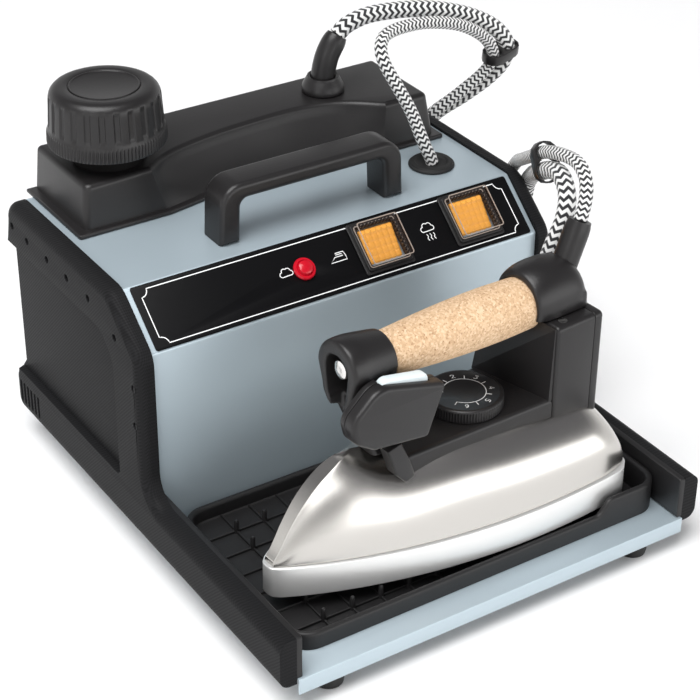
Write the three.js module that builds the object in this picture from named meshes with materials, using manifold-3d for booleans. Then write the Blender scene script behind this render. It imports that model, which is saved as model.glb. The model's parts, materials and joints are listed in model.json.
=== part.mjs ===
// Steam generator iron: a sheet metal boiler cabinet between two moulded side panels, with an
// iron rest mat in front and a corded professional iron lying on it.
// Millimetres, +X right, +Y back, +Z up. The origin is on the floor under the middle of the object.
import * as THREE from 'three';
import { mergeVertices } from 'three/addons/utils/BufferGeometryUtils.js';
import Module from 'manifold-3d';

const wasm = await Module();
wasm.setup();

// ---- Driving dimensions -------------------------------------------------------------------

const GAP = 0.3; // clearance between touching pieces
const SHEET = 1.2; // sheet metal thickness

// Cabinet
const METAL_HALF = 124.7; // half width of the painted sheet metal
const LIP_FRONT = -153; // front face of the base lip
const LIP_BOTTOM = 10.6;
const BASE_TOP = 20.2;
const WALL_Y = -9.6; // front wall of the boiler cabinet
const FOLD_LOW = 134; // fold between front wall and control slope
const FOLD_HIGH_Y = 19.9; // fold between control slope and top
const BODY_TOP = 159;
const REAR_Y = 139;

// Side panels
const PANEL_IN = 125; // inner face of a side panel
const PANEL_FIELD = 130.6; // outer face of its recessed field
const PANEL_OUT = 134.8; // outer face of its raised rim
const PANEL_ROUND = 7; // how far the panel's outer edge curves in
const RAIL_IN = 121.6; // inner face of the rail strip beside the mat
const RAIL_TOP = 45.9;
const RAIL_FRONT = -151.4;
const PANEL_BOTTOM = 17;
const PANEL_REAR = 145.5;
const RIM_REAR = 153; // rear end of the panel's lower rim

// Mat
const MAT_LEFT = -116;
const MAT_RIGHT = 121.2;
const MAT_FRONT = -138;
const MAT_BACK = -12;
const MAT_FLOOR = 21.8; // top of the mat's floor
const MAT_RIM = 30.5;
const MAT_RIM_HIGH = 39;
const PIN_PITCH = 17.7;
const PIN_TOP = 30.3;
const PIN_RADIUS = 1.5;

// Boiler and its fittings
const BOILER_Y = 86;
const BOILER_Z = 76;
const BOILER_RADIUS = 44;
const BOILER_LEFT = -112;
const BOILER_RIGHT = 56;
const SUPPLY_X = 20; // where the steam pipe leaves the boiler
const NECK_X = -84;
const NECK_Y = 112;
const NECK_TOP = 209;
const NECK_RADIUS = 18;
const CAP_BOTTOM = 197;
const CAP_TOP = 230;
const CAP_RADIUS = 33.3;

// Tank cover
const COVER_BASE = BODY_TOP + GAP;
const FLANGE_TOP = 161.6;
const COVER_TOP = 187;
const COVER_WALL = 2.6;

// Hose and cable outlets of the cabinet
const HOSE_X = 63.5;
const HOSE_Y = 122.5;
const COLLAR_TOP = 197;
const GROMMET_X = 94;
const GROMMET_Y = 52.5;
const HOSE_RADIUS = 5;
const HOSE_EXIT = [HOSE_X + 10, HOSE_Y, 220]; // top of the hose's sleeve
const CABLE_RADIUS = 3.75;

// Carrying handle
const HANDLE_LEFT = -59.5;
const HANDLE_RIGHT = 59.5;
const HANDLE_FRONT = 30.4;
const HANDLE_DEPTH = 21;
const HANDLE_TOP = 194;
const HANDLE_BAR = 9.5;
const HANDLE_LEG = 12.5;

// Iron, in its own frame: x runs from the tip to the heel, z up from the sole's underside
const IRON_TIP = new THREE.Vector3(-114.1, -97.6, 32);
const IRON_YAW = THREE.MathUtils.degToRad(4.5);
const SOLE_LENGTH = 219;
const SOLE_BASE = -1.5; // underside of the sole in the iron's frame
const SOLE_BAND = 17;
const HEEL_Z = 54; // height of the dome over the heel
const DECK_TOP = 65;
const DIAL_X = 134;
const DIAL_RADIUS = 21.3;
const DIAL_TOP = 73;
const SPINDLE = 3; // radius of the thermostat's spindle
const GRIP_FRONT = 77.5;
const GRIP_REAR = 176;
const GRIP_Z_FRONT = 116.5;
const GRIP_Z_REAR = 113.5;
const BLOCK_FRONT = 174;
const BLOCK_REAR = 206.6;
const BLOCK_HALF = 27;
const BLOCK_TOP = 109;

// ---- Materials ----------------------------------------------------------------------------

function finish(color, roughness, metalness) {
  return new THREE.MeshStandardMaterial({ color, roughness, metalness });
}

const paint = finish(0xaebcc4, 0.45, 0.3);
const blackPlastic = finish(0x1b1a1a, 0.5, 0);
const wovenPlastic = finish(0x222223, 0.6, 0);
const matRubber = finish(0x1c1b1b, 0.7, 0);
const footRubber = finish(0x141414, 0.85, 0);
const labelFilm = finish(0x111111, 0.35, 0);
const amberLens = finish(0xf0a030, 0.3, 0);
const clearLens = finish(0xe8e0d8, 0.1, 0);
const redLens = finish(0xb01020, 0.25, 0);
const stainless = finish(0xb8b6b2, 0.3, 1);
const aluminium = finish(0xc4c4c2, 0.4, 1);
const brass = finish(0xb39a5a, 0.35, 1);
const cork = finish(0xd0a878, 0.9, 0);
const paleButton = finish(0xdce8ea, 0.4, 0);
const sealRubber = finish(0x6a2f26, 0.8, 0);
const braid = finish(0x77777a, 0.9, 0);
const ceramic = finish(0xe6e2d8, 0.6, 0);

// ---- Geometry helpers ---------------------------------------------------------------------

const object = new THREE.Group();

function place(parent, name, geometry, material) {
  const mesh = new THREE.Mesh(geometry, material);
  mesh.name = name;
  parent.add(mesh);
  return mesh;
}

function toSolid(geometry) {
  const bare = geometry.clone();
  bare.deleteAttribute('normal');
  bare.deleteAttribute('uv');
  const merged = mergeVertices(bare, 1e-4);
  return new wasm.Manifold(new wasm.Mesh({
    numProp: 3,
    vertProperties: new Float32Array(merged.attributes.position.array),
    triVerts: new Uint32Array(merged.index.array),
  }));
}

function toGeometry(solid) {
  const mesh = solid.getMesh();
  const geometry = new THREE.BufferGeometry();
  geometry.setAttribute('position', new THREE.BufferAttribute(mesh.vertProperties, 3));
  geometry.setIndex(new THREE.BufferAttribute(mesh.triVerts, 1));
  geometry.computeVertexNormals();
  return geometry;
}

function cut(geometry, ...tools) {
  let solid = toSolid(geometry);
  for (const tool of tools) {
    solid = solid.subtract(toSolid(tool));
  }
  return toGeometry(solid);
}

function join(...geometries) {
  const [first, ...rest] = geometries.map(toSolid);
  return toGeometry(rest.reduce((sum, solid) => sum.add(solid), first));
}

// Box between two corners
function box(x0, x1, y0, y1, z0, z1) {
  const geometry = new THREE.BoxGeometry(x1 - x0, y1 - y0, z1 - z0);
  geometry.translate((x0 + x1) / 2, (y0 + y1) / 2, (z0 + z1) / 2);
  return geometry;
}

// Upright cylinder or cone standing at (x, y) from z0 to z1
function post(x, y, z0, z1, radius, sides = 24, topRadius = radius) {
  const geometry = new THREE.CylinderGeometry(topRadius, radius, z1 - z0, sides);
  geometry.rotateX(Math.PI / 2);
  geometry.translate(x, y, (z0 + z1) / 2);
  return geometry;
}

// Cylinder lying along X from x0 to x1
function barX(y, z, x0, x1, radius, sides = 24, endRadius = radius) {
  const geometry = new THREE.CylinderGeometry(endRadius, radius, x1 - x0, sides);
  geometry.rotateZ(-Math.PI / 2);
  geometry.translate((x0 + x1) / 2, y, z);
  return geometry;
}

// Cylinder lying along Y from y0 to y1
function barY(x, z, y0, y1, radius, sides = 24) {
  const geometry = new THREE.CylinderGeometry(radius, radius, y1 - y0, sides);
  geometry.translate(x, (y0 + y1) / 2, z);
  return geometry;
}

function shapeOf(points) {
  return new THREE.Shape(points.map(([x, y]) => new THREE.Vector2(x, y)));
}

// Corners of an outline rounded with arcs: each point is [x, y] or [x, y, radius]
function rounded(points, segments = 4) {
  const out = [];
  points.forEach(([x, y, radius = 0], i) => {
    const before = points[(i + points.length - 1) % points.length];
    const after = points[(i + 1) % points.length];
    if (!radius) {
      out.push([x, y]);
      return;
    }
    const corner = new THREE.Vector2(x, y);
    const back = new THREE.Vector2(before[0], before[1]).sub(corner).normalize();
    const ahead = new THREE.Vector2(after[0], after[1]).sub(corner).normalize();
    const half = Math.acos(THREE.MathUtils.clamp(back.dot(ahead), -1, 1)) / 2;
    const reach = radius / Math.tan(half);
    const middle = back.clone().add(ahead).normalize();
    const centre = middle.multiplyScalar(radius / Math.sin(half)).add(corner);
    const from = back.multiplyScalar(reach).add(corner).sub(centre);
    const to = ahead.multiplyScalar(reach).add(corner).sub(centre);
    const turn = Math.atan2(from.cross(to), from.dot(to));
    for (let k = 0; k <= segments; k += 1) {
      const step = from.clone().rotateAround(new THREE.Vector2(), (turn * k) / segments).add(centre);
      out.push([step.x, step.y]);
    }
  });
  return out;
}

function rectangle(x0, x1, y0, y1, radius = 0) {
  return [[x0, y0, radius], [x1, y0, radius], [x1, y1, radius], [x0, y1, radius]];
}

// Outline in the YZ plane, extruded along X
function slabX(points, x0, x1) {
  const geometry = new THREE.ExtrudeGeometry(shapeOf(points), { depth: x1 - x0, bevelEnabled: false });
  const turn = new THREE.Matrix4().set(0, 0, 1, x0, 1, 0, 0, 0, 0, 1, 0, 0, 0, 0, 0, 1);
  return geometry.applyMatrix4(turn);
}

// Outline in the XZ plane, extruded along Y
function slabY(points, y0, y1) {
  const geometry = new THREE.ExtrudeGeometry(shapeOf(points), { depth: y1 - y0, bevelEnabled: false });
  const turn = new THREE.Matrix4().set(1, 0, 0, 0, 0, 0, -1, y1, 0, 1, 0, 0, 0, 0, 0, 1);
  return geometry.applyMatrix4(turn);
}

// Outline in the XY plane, extruded upwards
function slabZ(points, z0, z1) {
  const geometry = new THREE.ExtrudeGeometry(shapeOf(points), { depth: z1 - z0, bevelEnabled: false });
  return geometry.translate(0, 0, z0);
}

// Body of revolution about an upright axis: the profile lists [radius, z] and starts and ends on the axis
function turned(x, y, profile, sides = 32) {
  const points = profile.map(([radius, z]) => new THREE.Vector2(radius, z));
  const geometry = new THREE.LatheGeometry(points, sides);
  geometry.rotateX(Math.PI / 2);
  return geometry.translate(x, y, 0);
}

// Closed skin over a stack of outlines that all have the same number of points
function loft(rings) {
  const count = rings[0].length;
  const positions = rings.flat().flat();
  const index = [];
  for (let r = 0; r + 1 < rings.length; r += 1) {
    for (let i = 0; i < count; i += 1) {
      const a = r * count + i;
      const b = r * count + ((i + 1) % count);
      index.push(a, b, b + count, a, b + count, a + count);
    }
  }
  const caps = [[rings[0], 0, true], [rings.at(-1), (rings.length - 1) * count, false]];
  for (const [ring, start, flip] of caps) {
    const [u, v] = flatAxes(ring);
    const flat = ring.map((p) => new THREE.Vector2(p[u], p[v]));
    const ccw = !THREE.ShapeUtils.isClockWise(flat);
    for (const [a, b, c] of THREE.ShapeUtils.triangulateShape(flat, [])) {
      const up = capFacesUp(flat, a, b, c) === ccw;
      index.push(start + a, ...(up !== flip ? [start + b, start + c] : [start + c, start + b]));
    }
  }
  const geometry = new THREE.BufferGeometry();
  geometry.setAttribute('position', new THREE.BufferAttribute(new Float32Array(positions), 3));
  geometry.setIndex(index);
  geometry.computeVertexNormals();
  return geometry;
}

function capFacesUp(flat, a, b, c) {
  return flat[b].clone().sub(flat[a]).cross(flat[c].clone().sub(flat[a])) > 0;
}

// The two coordinates in which a ring has the most room
function flatAxes(ring) {
  const spans = [0, 1, 2].map((k) => {
    const values = ring.map((p) => p[k]);
    return Math.max(...values) - Math.min(...values);
  });
  const thin = spans.indexOf(Math.min(...spans));
  return [0, 1, 2].filter((k) => k !== thin);
}

// Tube along a smooth curve through points
function tube(points, radius, steps, sides = 8) {
  const section = new THREE.Shape(
    Array.from({ length: sides }, (_, i) => {
      const angle = (2 * Math.PI * i) / sides;
      return new THREE.Vector2(radius * Math.cos(angle), radius * Math.sin(angle));
    }),
  );
  const path = new THREE.CatmullRomCurve3(points.map((p) => new THREE.Vector3(...p)), false, 'centripetal');
  return new THREE.ExtrudeGeometry(section, { steps, bevelEnabled: false, extrudePath: path });
}

// ---- Cabinet sheet metal ------------------------------------------------------------------

const SLOPE_ANGLE = Math.atan2(BODY_TOP - FOLD_LOW, FOLD_HIGH_Y - WALL_Y);
const SLOPE_LENGTH = Math.hypot(BODY_TOP - FOLD_LOW, FOLD_HIGH_Y - WALL_Y);

// Group whose XY plane is the control slope: x as the object's, y up the slope, z out of it
const slope = new THREE.Group();
slope.position.set(0, WALL_Y, FOLD_LOW);
slope.rotation.x = SLOPE_ANGLE;
object.add(slope);

function onSlope(geometry) {
  slope.updateMatrixWorld(true);
  return geometry.clone().applyMatrix4(slope.matrixWorld);
}

const SWITCHES = { iron: [26.8, 20.6], boiler: [88.4, 20.6] };
const LAMP = [-23.2, 19.6];
const SWITCH_HOLE = 13.2; // half side of a switch's cut-out
const LAMP_RADIUS = 5.2;

function slopeHoles(depth, grow = 0) {
  const holes = Object.values(SWITCHES).map(([x, y]) => {
    const half = SWITCH_HOLE + grow;
    return onSlope(box(x - half, x + half, y - half, y + half, -depth, depth));
  });
  holes.push(onSlope(post(LAMP[0], LAMP[1], -depth, depth, LAMP_RADIUS + grow)));
  return holes;
}

function buildCabinet() {
  const pan = [
    [LIP_FRONT, LIP_BOTTOM], [LIP_FRONT + SHEET, LIP_BOTTOM], [LIP_FRONT + SHEET, BASE_TOP - SHEET],
    [REAR_Y, BASE_TOP - SHEET], [REAR_Y, BASE_TOP], [LIP_FRONT, BASE_TOP],
  ];
  place(object, 'base_pan', slabX(pan, -METAL_HALF, METAL_HALF), paint);

  const bend = SHEET * Math.tan(SLOPE_ANGLE / 2);
  const steep = SHEET * Math.tan((Math.PI / 2 - SLOPE_ANGLE) / 2);
  const strip = [
    [WALL_Y, BASE_TOP + GAP], [WALL_Y + SHEET, BASE_TOP + GAP], [WALL_Y + SHEET, FOLD_LOW - steep],
    [FOLD_HIGH_Y + bend, BODY_TOP - SHEET], [REAR_Y - SHEET - GAP, BODY_TOP - SHEET],
    [REAR_Y - SHEET - GAP, BODY_TOP], [FOLD_HIGH_Y, BODY_TOP], [WALL_Y, FOLD_LOW],
  ];
  const shell = cut(
    slabX(strip, -METAL_HALF, METAL_HALF),
    ...slopeHoles(8),
    post(NECK_X, NECK_Y, BODY_TOP - 9, BODY_TOP + 9, NECK_RADIUS + 2),
    post(HOSE_X, HOSE_Y, BODY_TOP - 9, BODY_TOP + 9, 7),
    post(GROMMET_X, GROMMET_Y, BODY_TOP - 9, BODY_TOP + 9, 10),
  );
  place(object, 'cabinet_shell', shell, paint);

  const louvres = [];
  for (let row = 0; row < 6; row += 1) {
    louvres.push(box(-80, -20, REAR_Y - 9, REAR_Y + 9, 50 + row * 9, 53 + row * 9));
  }
  const wall = box(-METAL_HALF, METAL_HALF, REAR_Y - SHEET, REAR_Y, BASE_TOP + GAP, BODY_TOP);
  place(object, 'rear_cover', cut(wall, barY(92, 46, REAR_Y - 9, REAR_Y + 9, 7), ...louvres), paint);
}

// ---- Side panels --------------------------------------------------------------------------

function panelOutline() {
  const top = BODY_TOP + 1.6;
  const edge = WALL_Y - 3;
  return rounded([
    [RAIL_FRONT - 20, PANEL_BOTTOM], [RIM_REAR, PANEL_BOTTOM, 8], [RIM_REAR, RAIL_TOP, 8],
    [PANEL_REAR, RAIL_TOP + 6, 2], [PANEL_REAR, top, 12], [19, top, 16], [edge, FOLD_LOW + 0.6, 14],
    [edge, RAIL_TOP, 16], [RAIL_FRONT - 20, RAIL_TOP],
  ], 3);
}

function fieldOutline() {
  return rounded([
    [17, RAIL_TOP + 1, 3], [160, RAIL_TOP + 1], [160, 132.5], [28, 132.5, 14], [17, 119, 10],
  ], 3);
}

// Small round vents near the panel's edge, each [y, z], and upright slots in its lower rear corner
const VENTS = [
  [139.5, 144], [118.8, 143.5], [93.3, 144], [68.8, 144], [43.2, 143], [14, 134], [-5, 116], [-5, 91.5],
];
const VENT_RADIUS = 1.7;
const SLOTS = 6;
const FIRST_SLOT = 121;
const SLOT_PITCH = 4.6;
const SLOT_WIDTH = 2;

function sidePanel(side) {
  const holes = [];
  for (const [y, z] of VENTS) {
    holes.push(barX(y, z, PANEL_FIELD - 2, PANEL_OUT + 5, VENT_RADIUS, 6));
  }
  for (let slot = 0; slot < SLOTS; slot += 1) {
    const y = FIRST_SLOT + slot * SLOT_PITCH;
    holes.push(box(PANEL_OUT - 2, PANEL_OUT + 5, y, y + SLOT_WIDTH, 24, 42));
  }
  const line = (edge, x) => inset(panelOutline(), edge).map(([y, z]) => [x, y, z]);
  const body = loft([
    line(0, PANEL_IN), line(0, PANEL_OUT - PANEL_ROUND),
    line(PANEL_ROUND * 0.13, PANEL_OUT - PANEL_ROUND * 0.5),
    line(PANEL_ROUND * 0.5, PANEL_OUT - PANEL_ROUND * 0.13), line(PANEL_ROUND, PANEL_OUT),
  ]);
  const strip = box(RAIL_IN, PANEL_IN + 1, RAIL_FRONT, WALL_Y - GAP, BASE_TOP + GAP, RAIL_TOP);
  const field = slabX(fieldOutline(), PANEL_FIELD, PANEL_OUT + 9);
  const ahead = box(0, 200, RAIL_FRONT - 50, RAIL_FRONT, 0, 99);
  const panel = cut(join(body, strip), field, ahead, ...holes);
  if (side < 0) {
    return toGeometry(toSolid(panel).mirror([1, 0, 0]));
  }
  return panel;
}

function buildPanels() {
  place(object, 'side_panel_right', sidePanel(1), wovenPlastic);
  place(object, 'side_panel_left', sidePanel(-1), wovenPlastic);
  for (const [end, y] of [['front', -141], ['rear', 118]]) {
    for (const [side, x] of [['left', -100], ['right', 100]]) {
      const foot = post(x, y, 0, BASE_TOP - SHEET - GAP, 8, 16, 10);
      place(object, `foot_${end}_${side}`, foot, footRubber);
    }
  }
}

// ---- Iron rest mat ------------------------------------------------------------------------

function matOutline(edge) {
  const radius = 14 - edge;
  return rounded(
    rectangle(MAT_LEFT + edge, MAT_RIGHT - edge, MAT_FRONT + edge, MAT_BACK - edge, radius), 5);
}

function buildMat() {
  const base = BASE_TOP + GAP;
  const body = cut(slabZ(matOutline(0), base, MAT_RIM), slabZ(matOutline(4), MAT_FLOOR, MAT_RIM + 9));
  const highRim = cut(
    slabZ(matOutline(0), MAT_RIM - 1, MAT_RIM_HIGH),
    slabZ(matOutline(4), base, MAT_RIM_HIGH + 9),
    slabY([[-200, 0], [78, 0], [78, MAT_RIM], [85, MAT_RIM_HIGH + 9], [-200, MAT_RIM_HIGH + 9]], -160, 0),
    box(0, 200, -100, 0, 0, 99),
  );
  const pins = [];
  for (let x = -91; x < MAT_RIGHT - 8; x += PIN_PITCH) {
    for (let y = -122; y < MAT_BACK - 8; y += PIN_PITCH) {
      pins.push(post(x, y, MAT_FLOOR - 0.5, PIN_TOP - GAP, PIN_RADIUS, 5, PIN_RADIUS * 0.8));
    }
  }
  place(object, 'iron_rest_mat', join(body, highRim, ...pins), matRubber);
}

// ---- Controls on the slope ----------------------------------------------------------------

const LABEL = 0.5; // thickness of the control label

function buildControls() {
  const film = onSlope(box(-121.5, 121.5, 0.8, SLOPE_LENGTH - 0.8, GAP, GAP + LABEL));
  place(object, 'control_label', cut(film, ...slopeHoles(8)), labelFilm);

  const lampBody = join(
    post(LAMP[0], LAMP[1], -14, 2, LAMP_RADIUS - GAP, 20),
    post(LAMP[0], LAMP[1], GAP + LABEL + GAP, 3, LAMP_RADIUS + 1.2, 20),
    turnedDome(LAMP[0], LAMP[1], 2.5, 5.2, 4.2),
  );
  place(slope, 'pilot_lamp', lampBody, redLens);

  for (const [name, [x, y]] of Object.entries(SWITCHES)) {
    const hole = SWITCH_HOLE - GAP;
    const low = GAP + LABEL + GAP;
    const bezel = cut(
      join(
        box(x - hole, x + hole, y - hole, y + hole, -20, 1.5),
        box(x - 16, x + 16, y - 15.6, y + 15.6, low, low + 2.4),
      ),
      box(x - 11.6, x + 11.6, y - 11.6, y + 11.6, -16, 9),
    );
    place(slope, `${name}_switch_bezel`, bezel, blackPlastic);
    const rocker = slabX([[y - 9.8, -4], [y + 9.8, -4], [y + 9.8, 4.3], [y, 2.4], [y - 9.8, 0.7]],
      x - 10.8, x + 10.8);
    place(slope, `${name}_rocker`, rocker, amberLens);
    const cover = cut(
      box(x - 13.4, x + 13.4, y - 13, y + 13, low + 2.4 + GAP, 9.4),
      box(x - 12.2, x + 12.2, y - 11.8, y + 11.8, 0, 8.4),
    );
    place(slope, `${name}_splash_cover`, cover, clearLens);
  }
}

function turnedDome(x, y, z0, z1, radius) {
  const profile = [[0, z0], [radius, z0], [radius * 0.9, (z0 + z1) / 2], [radius * 0.5, z1], [0, z1]];
  return turned(x, y, profile, 16);
}

// ---- Handle -------------------------------------------------------------------------------

function buildHandle() {
  const outer = rounded([
    [HANDLE_LEFT, BODY_TOP + GAP], [HANDLE_RIGHT, BODY_TOP + GAP],
    [HANDLE_RIGHT - 1.5, HANDLE_TOP, 13], [HANDLE_LEFT + 1.5, HANDLE_TOP, 13],
  ], 5);
  const inner = rounded([
    [HANDLE_LEFT + HANDLE_LEG, 100], [HANDLE_RIGHT - HANDLE_LEG, 100],
    [HANDLE_RIGHT - HANDLE_LEG - 1, HANDLE_TOP - HANDLE_BAR, 5],
    [HANDLE_LEFT + HANDLE_LEG + 1, HANDLE_TOP - HANDLE_BAR, 5],
  ], 4);
  const back = HANDLE_FRONT + HANDLE_DEPTH;
  const bow = cut(slabY(outer, HANDLE_FRONT, back), slabY(inner, HANDLE_FRONT - 5, back + 5));
  place(object, 'carry_handle', bow, blackPlastic);
}

// ---- Tank cover ---------------------------------------------------------------------------

// The cover's wall line at its foot and at its top: a straight back, and a front that is scooped
// out between two blocks to leave finger room behind the handle
const COVER_FOOT = [
  [-116, 82], [-64, 81.5], [-42, 85.5], [-20, 91], [8, 95], [35, 94.5], [60, 89], [80, 81.5], [117.5, 82],
  [117.5, 146], [-116, 146],
];
const COVER_CROWN = [
  [-111, 84.5], [-72, 85.5], [-54, 99], [-22, 107], [12, 110], [40, 110], [65, 103], [85, 87], [114, 86],
  [114, 146], [-111, 146],
];

// Outline moved inwards by a distance, corner by corner
function inset(points, distance) {
  return points.map(([x, y], i) => {
    const before = points[(i + points.length - 1) % points.length];
    const after = points[(i + 1) % points.length];
    const inward = [[x - before[0], y - before[1]], [after[0] - x, after[1] - y]].map(([dx, dy]) => {
      const length = Math.hypot(dx, dy);
      return [-dy / length, dx / length];
    });
    const sum = [inward[0][0] + inward[1][0], inward[0][1] + inward[1][1]];
    const scale = (2 * distance) / (sum[0] ** 2 + sum[1] ** 2);
    return [x + sum[0] * scale, y + sum[1] * scale];
  });
}

function raise(points, z) {
  return points.map(([x, y]) => [x, y, z]);
}

function buildTankCover() {
  const skin = loft([raise(COVER_FOOT, COVER_BASE), raise(COVER_CROWN, COVER_TOP - 2),
    raise(inset(COVER_CROWN, 1.6), COVER_TOP)]);
  const room = loft([raise(inset(COVER_FOOT, COVER_WALL), COVER_BASE - 5),
    raise(inset(COVER_CROWN, COVER_WALL), COVER_TOP - COVER_WALL)]);
  const flange = slabZ([
    [-120, 78.5], [-64, 78.5], [-42, 82.5], [-20, 88], [8, 92], [35, 91.5], [60, 86], [80, 78.5],
    [121, 78.5], [121, 144], [-120, 144],
  ], COVER_BASE, FLANGE_TOP);
  const rim = post(NECK_X, NECK_Y, COVER_TOP - 1, CAP_BOTTOM - 2, 27, 28, 25);
  const cover = cut(
    join(skin, flange, rim), room,
    post(NECK_X, NECK_Y, COVER_TOP - 9, COVER_TOP + 19, NECK_RADIUS + 1.5),
    post(HOSE_X, HOSE_Y, COVER_TOP - 9, COVER_TOP + 9, 7),
  );
  place(object, 'tank_cover', cover, blackPlastic);
}

// ---- Boiler -------------------------------------------------------------------------------

function vessel(radius, left, right) {
  const dish = 9;
  return join(
    barX(BOILER_Y, BOILER_Z, left + dish, right - dish, radius, 24),
    barX(BOILER_Y, BOILER_Z, left, left + dish + 0.1, radius * 0.7, 24, radius),
    barX(BOILER_Y, BOILER_Z, right - dish - 0.1, right, radius, 24, radius * 0.7),
  );
}

function buildBoiler() {
  const wall = 1.5;
  const heaterZ = BOILER_Z - 18;
  const neck = post(NECK_X, NECK_Y, 80, NECK_TOP, NECK_RADIUS, 20);
  const tank = cut(
    join(vessel(BOILER_RADIUS, BOILER_LEFT, BOILER_RIGHT), neck),
    vessel(BOILER_RADIUS - wall, BOILER_LEFT + wall, BOILER_RIGHT - wall),
    post(NECK_X, NECK_Y, 80, NECK_TOP + 9, NECK_RADIUS - 3, 20),
    barX(BOILER_Y, heaterZ, BOILER_RIGHT - 9, BOILER_RIGHT + 9, 9, 20),
    post(SUPPLY_X, BOILER_Y, BOILER_Z + 30, BOILER_Z + 60, 4, 12),
  );
  place(object, 'boiler_tank', tank, stainless);

  const rods = [];
  for (const y of [-5, 5]) {
    rods.push(barX(BOILER_Y + y, heaterZ, BOILER_LEFT + 40, BOILER_RIGHT + 3, 2.5, 8));
  }
  const bend = box(
    BOILER_LEFT + 38, BOILER_LEFT + 43, BOILER_Y - 7.5, BOILER_Y + 7.5, heaterZ - 2.5, heaterZ + 2.5);
  const heater = join(
    barX(BOILER_Y, heaterZ, BOILER_RIGHT + GAP, BOILER_RIGHT + 6, 13, 6),
    bend,
    ...rods,
  );
  place(object, 'boiler_heater', heater, brass);

  const cheeks = [-70, 20].map((x) => {
    const plate = slabX([[44, BASE_TOP + GAP], [128, BASE_TOP + GAP], [128, 50], [44, 50]], x, x + 2);
    return cut(plate, barX(BOILER_Y, BOILER_Z, x - 9, x + 9, BOILER_RADIUS + GAP, 24));
  });
  const foot = box(-70, 22, 60, 112, BASE_TOP + GAP, BASE_TOP + GAP + 1.5);
  place(object, 'boiler_cradle', join(foot, ...cheeks), aluminium);
}

function buildFittings() {
  const pipe = 3; // radius of both steam pipes
  const valveLeft = 78;
  const outlet = tube([
    [HOSE_X, HOSE_Y, 189], [HOSE_X, HOSE_Y, 165], [66, 121, 140], [84, 118, 125], [91, 117, 90],
  ], pipe, 10, 8);
  const valve = join(box(valveLeft, 104, 104, 130, 60, 92), post(91, 117, 91, 104, 6, 12), outlet);
  place(object, 'steam_valve', valve, brass);
  const supply = tube([
    [SUPPLY_X, BOILER_Y, 121], [SUPPLY_X, BOILER_Y, 128], [32, 95, 134], [60, 104, 112], [74, 110, 80],
    [77.5, 112, 76],
  ], pipe, 14, 8);
  const valveRoom = box(valveLeft - GAP, 99, 100, 130, 50, 90);
  place(object, 'steam_supply_pipe', cut(supply, valveRoom), brass);
  const pressureSwitch = join(post(96, 70, 30, 58, 15, 20), post(96, 70, 58, 70, 5, 12));
  place(object, 'pressure_switch', pressureSwitch, blackPlastic);
  const cutout = post(-30, BOILER_Y, BOILER_Z + BOILER_RADIUS + GAP, 134, 9, 16);
  place(object, 'safety_thermostat', cutout, ceramic);
  const terminals = [];
  for (let way = 0; way < 5; way += 1) {
    terminals.push(box(60 + way * 11, 69 + way * 11, 14, 28, 30, 38));
  }
  place(object, 'terminal_block', join(box(58, 115, 12, 30, BASE_TOP + GAP, 31), ...terminals), ceramic);
  const gland = join(
    barY(92, 46, REAR_Y - 12, REAR_Y + 1, 6.6, 20),
    barY(92, 46, REAR_Y + GAP, REAR_Y + 7, 11, 12),
    barY(92, 46, REAR_Y + 6, REAR_Y + 13, 8.5, 20),
  );
  place(object, 'mains_gland', cut(gland, barY(92, 46, REAR_Y - 20, REAR_Y + 20, 4, 12)), blackPlastic);
}

// ---- Boiler cap ---------------------------------------------------------------------------

function buildCap() {
  const knob = turned(NECK_X, NECK_Y, [
    [0, 216], [22, 216], [22, CAP_BOTTOM], [CAP_RADIUS - 1, CAP_BOTTOM], [CAP_RADIUS, CAP_BOTTOM + 1.5],
    [CAP_RADIUS, CAP_BOTTOM + 6.5], [CAP_RADIUS - 1.2, CAP_BOTTOM + 8.5], [31, CAP_TOP - 9],
    [29.6, CAP_TOP - 3.5], [25.5, CAP_TOP - 0.6], [19.5, CAP_TOP], [19.5, CAP_TOP - 1], [0, CAP_TOP - 1],
  ], 28);
  place(object, 'boiler_cap', knob, blackPlastic);
  const plug = turned(NECK_X, NECK_Y, [
    [0, 200], [NECK_RADIUS - 3 - GAP, 200], [NECK_RADIUS - 3 - GAP, NECK_TOP + GAP], [20, NECK_TOP + GAP],
    [20, 212.5], [0, 212.5],
  ], 20);
  place(object, 'cap_seal', plug, sealRubber);
}

// ---- Hose and cable outlets ---------------------------------------------------------------

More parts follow.
